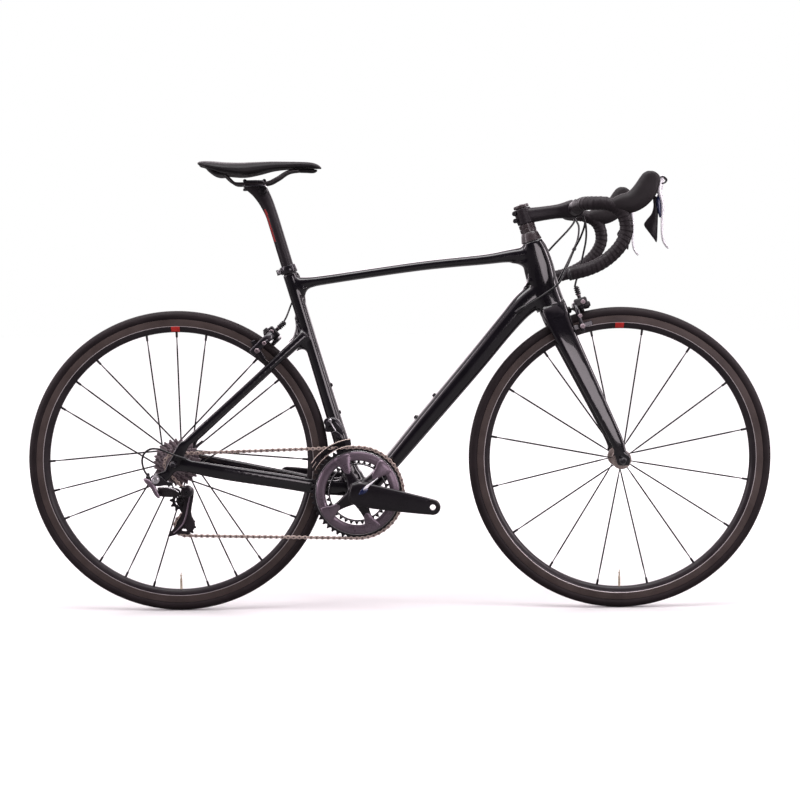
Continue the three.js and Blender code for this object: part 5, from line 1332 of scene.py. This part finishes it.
def make_front_derailleur():
    body = fused(merged(
        loft([row(-158, 414, 12, 14, -27), row(-152, 422, 20, 17, -28), row(-144, 424, 22, 18, -29),
              row(-134, 414, 20, 15, -30), row(-127, 400, 14, 12, -30), row(-124, 394, 6, 8, -30)], 32, 6),
        rod((-156, -22, 424), (-156, -34, 424), 8.6, 24), box((-149, -24, 414), [26, 12, 26], chamfer=3),
        box((-133, -26, 396), [16, 12, 22], chamfer=3)), 0.8, 4)
    piece("changer_body", body, DARK, "frame", ["front_derailleur_body"], sharp=60)
    # Painted glint: a thin silver line across the changer's body; the bolt head at its top is a real part.
    arm = sweep([(-151, -37, 428), (-147, -38.4, 420), (-141, -38.6, 410), (-137, -38.4, 402)], 1.5, 12, 8)
    piece("changer_painted_glint_and_bolt", merged(arm, bolt((-150, -36, 427), (0, -1, 0), 4, 3)), SILVER, "frame")
    bx, bz = bracket[0], bracket[2]

    def rim(r, a, b, n):
        return [[bx + r * math.cos(rad(t)), bz + r * math.sin(rad(t))] for t in np.linspace(a, b, n)]

    outline = rim(106, 97, 151, 24) + rim(111, 153, 153, 1) + rim(121.5, 146, 97, 22)
    window = rim(110.5, 103, 136, 14) + rim(117.5, 133, 103, 14)
    outer = plate(outline, -56.6, -54.9, [window], 0.4)
    inner = plate(outline, -42.1, -40.9, (), 0.4)
    wires = [sweep([(x, -56.2, z) for x, z in rim(r, a, b, 9)], 0.75, 8, 3) for r, a, b in (
        (121, 146, 97), (106.6, 151, 97), (114, 150, 142))]
    tail = [bx + 113 * math.cos(rad(149)), 0, bz + 113 * math.sin(rad(149))]
    tie = rod((tail[0], -56.2, tail[2]), (tail[0], -41.2, tail[2]), 1.8, 14)
    top = loft([row(*rim(119.6, 116, 116, 1)[0], 3, 15, -48.7, 3),
                row(*rim(120.4, 107, 107, 1)[0], 3.4, 15.4, -48.7, 3),
                row(*rim(119.6, 98, 98, 1)[0], 3, 15, -48.7, 3)], 20, 6)
    link = loft([row(-127, 390, 8, 6, -44), row(-132, 396, 10, 7, -43), row(-140, 401, 9, 7, -42),
                 row(-147, 399, 5, 5, -42)],
                24, 5)
    piece("changer_cage", merged(outer, inner, tie, top), ANODISED, "front_derailleur_cage",
          ["front_derailleur_cage"], sharp=45)
    piece("changer_edges", merged(*wires), CHAIN, "front_derailleur_cage")
    piece("changer_link", link, DARK, "front_derailleur_cage", sharp=60)


# ------------------------------------------------------------------ brake calipers
def caliper_arm(depth_from, tilt):
    """One arm, drawn looking along the mounting bolt: v across the wheel, w up, u out."""
    outline = rounded([[-9, 6], [-4, 10], [14, 14.5], [31, 9.5], [42.5, -5], [45.5, -24], [44, -42],
                       [41, -53], [33, -54], [31.5, -40], [31, -28], [27, -11], [17, -4.5], [2, -7.5],
                       [-7, -5]], 4)
    thick = 17.0 if depth_from > 0 else 9.0
    low = -depth_from - (thick if depth_from > 0 else 7.4)
    high = low + thick
    shape = prism(outline, low, high, 2.6)
    # In the drawing u is -Y, so the pad's middle lies at y = -(depth_from + 3.5).
    middle = np.array([0, -(depth_from + 3.7), -41])
    c, s = math.cos(tilt), math.sin(tilt)
    along = np.array([0, -c, s])
    up = np.array([0, s, c])
    pad_v = 13.0

    def in_place(size, v, w=0.0, chamfer=1.0):
        return placed(box((0, 0, 0), size, chamfer=chamfer), (1, 0, 0), along, up,
                      middle + np.array([v, 0, 0]) + up * w)

    pad = in_place([4.4, 47, 9.6], pad_v + 2.2, 0, 1.2)
    shoe = in_place([5.4, 50, 10.8], pad_v + 6.8, 0, 1.4)
    washer = in_place([18, 12, 11], pad_v + 17, 0, 2.0)
    screw = bolt(middle + (45.5, 0, 0), (1, 0, 0), 4.4, 3.4)
    boss = rod(middle + (28, 0, 0), middle + (46, 0, 0), 5.6, 24)
    upper = bolt((44.6, -(depth_from + 5), -18), (1, 0, 0), 4.6, 3.0)
    return shape, pad, merged(shoe, washer), merged(boss, screw, upper)


def make_caliper(end, origin, up, across_to, tilt):
    """Both arms, with the cable's adjuster and the release block above."""
    out = np.cross(across_to, up)
    near_side = "left" if across_to[1] > 0 else "right"
    far_side = "right" if near_side == "left" else "left"
    for side, flip, depth in ((near_side, 1, 0.5), (far_side, -1, -7.9)):
        arm, pad, shoe, screw = caliper_arm(depth, tilt)
        body = f"{end}_brake_arm_{side}"

        def here(shape, flip=flip):
            verts = shape[0] * (flip, 1, 1)
            faces = [polygon[::flip] for polygon in shape[1]]
            return placed((verts, faces, shape[2]), across_to, -out, up, origin)

        piece(f"{end}_caliper_{side}", here(arm), DARK, body, [body], sharp=50)
        piece(f"{end}_pad_{side}", here(pad), PAD, body)
        piece(f"{end}_shoe_{side}", here(shoe), DARK, body)
        piece(f"{end}_pad_screw_{side}", here(screw), COG, body)
        if flip > 0:
            cap = merged(rod((0, -16, 0), (0, -27, 0), 9.0, 32, 1.4),
                         rod((21, -16, 3), (21, -23, 3), 6.4, 28, 1.2),
                         box((12, -19, -2), [26, 8, 14], chamfer=2.4))
            piece(f"{end}_caliper_boss_{side}", here(cap), ANODISED, body)
            hub = merged(bolt((0, -27, 0), (0, -1, 0), 6.0, 3.4), bolt((21, -23, 3), (0, -1, 0), 4.4, 2.8))
            piece(f"{end}_caliper_bolts_{side}", here(hub), BLACK, body)
        if side == "right":
            grip = [rod((17, -10, 27 + 4.4 * k), (17, -10, 30.2 + 4.4 * k), 6.4, 24, 0.9) for k in range(4)]
            block = merged(box((17, -10, 10), [17, 28, 18], chamfer=2.6),
                           rod((17, -10, 16), (17, -10, 46), 4.2, 24),
                           *grip)
            piece(f"{end}_cable_block_{side}", here(block), BLACK, body)
            pinch = merged(bolt((24.6, -14, 9), (1, 0, 0), 5.2, 3.6),
                           rod((17, -10, 24.6), (17, -10, 26.8), 5.0, 24),
                           rod((8, -20, 12), (8, -25, 12), 3.4, 20))
            piece(f"{end}_cable_pinch_{side}", here(pinch), COG, body)


def make_brakes():
    make_caliper("front", front_pivot, steer_up, np.array([0.0, 1, 0]), 0.0)
    make_caliper("rear", rear_pivot, stay_up, np.array([0.0, -1, 0]), 0.22)


# ------------------------------------------------------------------ cables
def make_cables():
    piece("front_brake_housing", sweep([(407, -46, 868), (413, -44, 850), (414, -38, 820), (408, -30, 785),
                                        (400, -22, 750), (394, -18, 728), (391.5, -17, 716)], 2.2, 14, 8),
          HOUSING, "front_end", ["front_brake_cable"])
    piece("rear_brake_housing", sweep([(seat_x(692) - 12, 0, 692), (-237, -3, 680), (-241, -9, 668),
                                       (-245.5, -15, 656), (-250.5, -17, 647)], 2.0, 14, 8),
          HOUSING, "frame", ["rear_brake_cable"])
    piece("mech_housing", sweep([(-476, -76.5, 352), (-500, -76.5, 362), (-520, -75.5, 370), (-541, -74, 371),
                                 (-556, -73, 361), (-561, -72, 344), (-557, -72, 325), (-549.5, -72, 312)],
                                2.2, 14, 8), HOUSING, "frame", ["rear_derailleur_cable"])
    clip = (392, 0, 800)
    lines = []
    for sign in (-1, 1):
        lines.append(sweep([(404, sign * 72, 868), (409, sign * 60, 852), (403, sign * 26, 824),
                            (392, sign * 7, 800), (375, sign * 18, 762), (356, sign * 31, 726),
                            (325, sign * 32, 702), (292, sign * 31, 681),
                            (276, sign * 27, 670)], 2.3, 14, 10))
    lines.append(sweep([(398, 40, 870), (395, 34, 860), (380, 20, 842), (362, 8, 824), (348, 2, 810),
                        (336, 0, 797)],
                       2.3, 14, 10))
    bundle = piece("bar_housings", merged(*lines), HOUSING, None, sharp=60)
    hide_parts("handlebar_cables")
    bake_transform(bundle)
    tie = piece("housing_clip", placed(box((0, 0, 0), [7, 19.5, 8], chamfer=1.6), (0.4, 0, 0.917), (0, 1, 0),
                                       (-0.917, 0, 0.4), clip), HOUSING, None)
    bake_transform(tie)


# ------------------------------------------------------------------ studio
def make_floor():
    floor_mesh = bpy.data.meshes.new("floor")
    size = 30.0
    floor_mesh.from_pydata([(-size, -size, 0), (size, -size, 0), (size, size, 0), (-size, size, 0)], [],
                           [[0, 1, 2, 3]])
    floor = bpy.data.objects.new("floor", floor_mesh)
    bpy.context.scene.collection.objects.link(floor)
    paint = bpy.data.materials.new("floor_paint")
    paint.use_nodes = True
    shader = paint.node_tree.nodes["Principled BSDF"]
    shader.inputs["Roughness"].default_value = 0.8
    shader.inputs["Specular IOR Level"].default_value = 0.1
    shader.inputs["Emission Color"].default_value = (1, 1, 1, 1)
    # The floor is pale where it is seen and dark where the bicycle mirrors it.
    # Far away it glows like the backdrop.
    nodes, links = paint.node_tree.nodes, paint.node_tree.links
    sight = nodes.new("ShaderNodeLightPath")
    tone = nodes.new("ShaderNodeMapRange")
    tone.inputs["To Min"].default_value = 0.16
    tone.inputs["To Max"].default_value = 0.72
    links.new(sight.outputs["Is Camera Ray"], tone.inputs["Value"])
    links.new(tone.outputs["Result"], shader.inputs["Base Color"])
    ground = nodes.new("ShaderNodeTexCoord")
    reach = nodes.new("ShaderNodeVectorMath")
    reach.operation = "LENGTH"
    links.new(ground.outputs["Object"], reach.inputs[0])
    far = nodes.new("ShaderNodeMapRange")
    far.inputs["From Min"].default_value = 0.9
    far.inputs["From Max"].default_value = 3.0
    far.inputs["To Min"].default_value = 0.02
    far.inputs["To Max"].default_value = 0.55
    links.new(reach.outputs["Value"], far.inputs["Value"])
    glow = nodes.new("ShaderNodeMath")
    glow.operation = "MULTIPLY"
    links.new(sight.outputs["Is Camera Ray"], glow.inputs[0])
    links.new(far.outputs["Result"], glow.inputs[1])
    links.new(glow.outputs[0], shader.inputs["Emission Strength"])
    floor_mesh.materials.append(paint)


def make_world():
    """White to the camera. To the bicycle it is dark straight in front and bright beside and behind."""
    world = bpy.data.worlds.new("studio")
    bpy.context.scene.world = world
    world.use_nodes = True
    nodes, links = world.node_tree.nodes, world.node_tree.links
    nodes.clear()
    place = nodes.new("ShaderNodeTexCoord")
    split = nodes.new("ShaderNodeSeparateXYZ")
    links.new(place.outputs["Generated"], split.inputs[0])
    ramp = nodes.new("ShaderNodeValToRGB")
    ramp.color_ramp.elements[0].position = 0.11
    ramp.color_ramp.elements[0].color = (0.05, 0.042, 0.049, 1)
    ramp.color_ramp.elements[1].position = 0.5
    ramp.color_ramp.elements[1].color = (1.0, 0.90, 0.95, 1)
    band = ramp.color_ramp.elements.new(0.19)
    band.color = (0.72, 0.60, 0.67, 1)
    shift = nodes.new("ShaderNodeMapRange")
    shift.inputs["From Min"].default_value = -1
    shift.inputs["From Max"].default_value = 1
    links.new(split.outputs["Y"], shift.inputs["Value"])
    links.new(shift.outputs["Result"], ramp.inputs["Fac"])
    ambient = nodes.new("ShaderNodeBackground")
    ambient.inputs["Strength"].default_value = 0.95
    links.new(ramp.outputs["Color"], ambient.inputs["Color"])
    seen = nodes.new("ShaderNodeBackground")
    seen.inputs["Color"].default_value = (1, 1, 1, 1)
    seen.inputs["Strength"].default_value = 1.0
    ray = nodes.new("ShaderNodeLightPath")
    mix = nodes.new("ShaderNodeMixShader")
    links.new(ray.outputs["Is Camera Ray"], mix.inputs["Fac"])
    links.new(ambient.outputs[0], mix.inputs[1])
    links.new(seen.outputs[0], mix.inputs[2])
    out = nodes.new("ShaderNodeOutputWorld")
    links.new(mix.outputs[0], out.inputs["Surface"])


def make_lights():
    """Soft panels. All but the one overhead are a little mauve, as the photograph's highlights are."""
    for name, at, target, size_xy, power in (
            ("overhead", (0, -0.5, 3.2), (0, 0, 0.4), (4.0, 1.6), 90),
            ("left_strip", (-2.8, -0.9, 1.5), (0, 0, 0.5), (0.35, 2.6), 26),
            ("right_strip", (2.8, -0.9, 1.5), (0, 0, 0.5), (0.35, 2.6), 34),
            ("front_panel", (1.45, -3.35, 0.93), (0.3, 0, 0.5), (1.6, 0.9), 19),
            ("rear_wash", (0, 2.6, 1.8), (0, 0, 0.5), (4.0, 1.6), 40)):
        light = bpy.data.lights.new(name, "AREA")
        light.shape = "RECTANGLE"
        light.size, light.size_y = size_xy
        light.energy = power
        light.color = (1, 1, 1) if name == "overhead" else (1.0, 0.90, 0.955)
        holder = bpy.data.objects.new(name, light)
        holder.location = at
        holder.rotation_euler = (Vector(target) - Vector(at)).to_track_quat("-Z", "Y").to_euler()
        bpy.context.scene.collection.objects.link(holder)
    bpy.context.scene.view_settings.view_transform = "Standard"


def make_camera():
    """On the drive side, looking slightly down, and rolled by half a degree as in the photograph."""
    lens = bpy.data.cameras.new("camera")
    lens.lens = 65.77
    lens.sensor_width = 36
    camera = bpy.data.objects.new("camera", lens)
    eye, aim = Vector((0.045, -3.25, 0.6805)), Vector((0.0041, 0, 0.4691))
    look = (aim - eye).to_track_quat("-Z", "Y").to_matrix()
    roll = Matrix.Rotation(rad(0.535), 3, aim - eye)
    camera.location = eye
    camera.rotation_euler = (roll @ look).to_euler()
    bpy.context.scene.collection.objects.link(camera)
    bpy.context.scene.camera = camera


make_floor()
make_world()
make_lights()
make_camera()
make_frame()
frame_fittings()
make_seatpost()
make_saddle()
make_seat_clamp_head()
make_fork()
make_stem()
make_handlebar()
make_levers()
make_wheels()
chain_pins = chain_line()
make_chain(chain_pins)
make_cassette(chain_pins)
make_chainset(chain_pins)
make_pulleys(chain_pins)
make_rear_derailleur()
make_front_derailleur()
make_brakes()
make_cables()
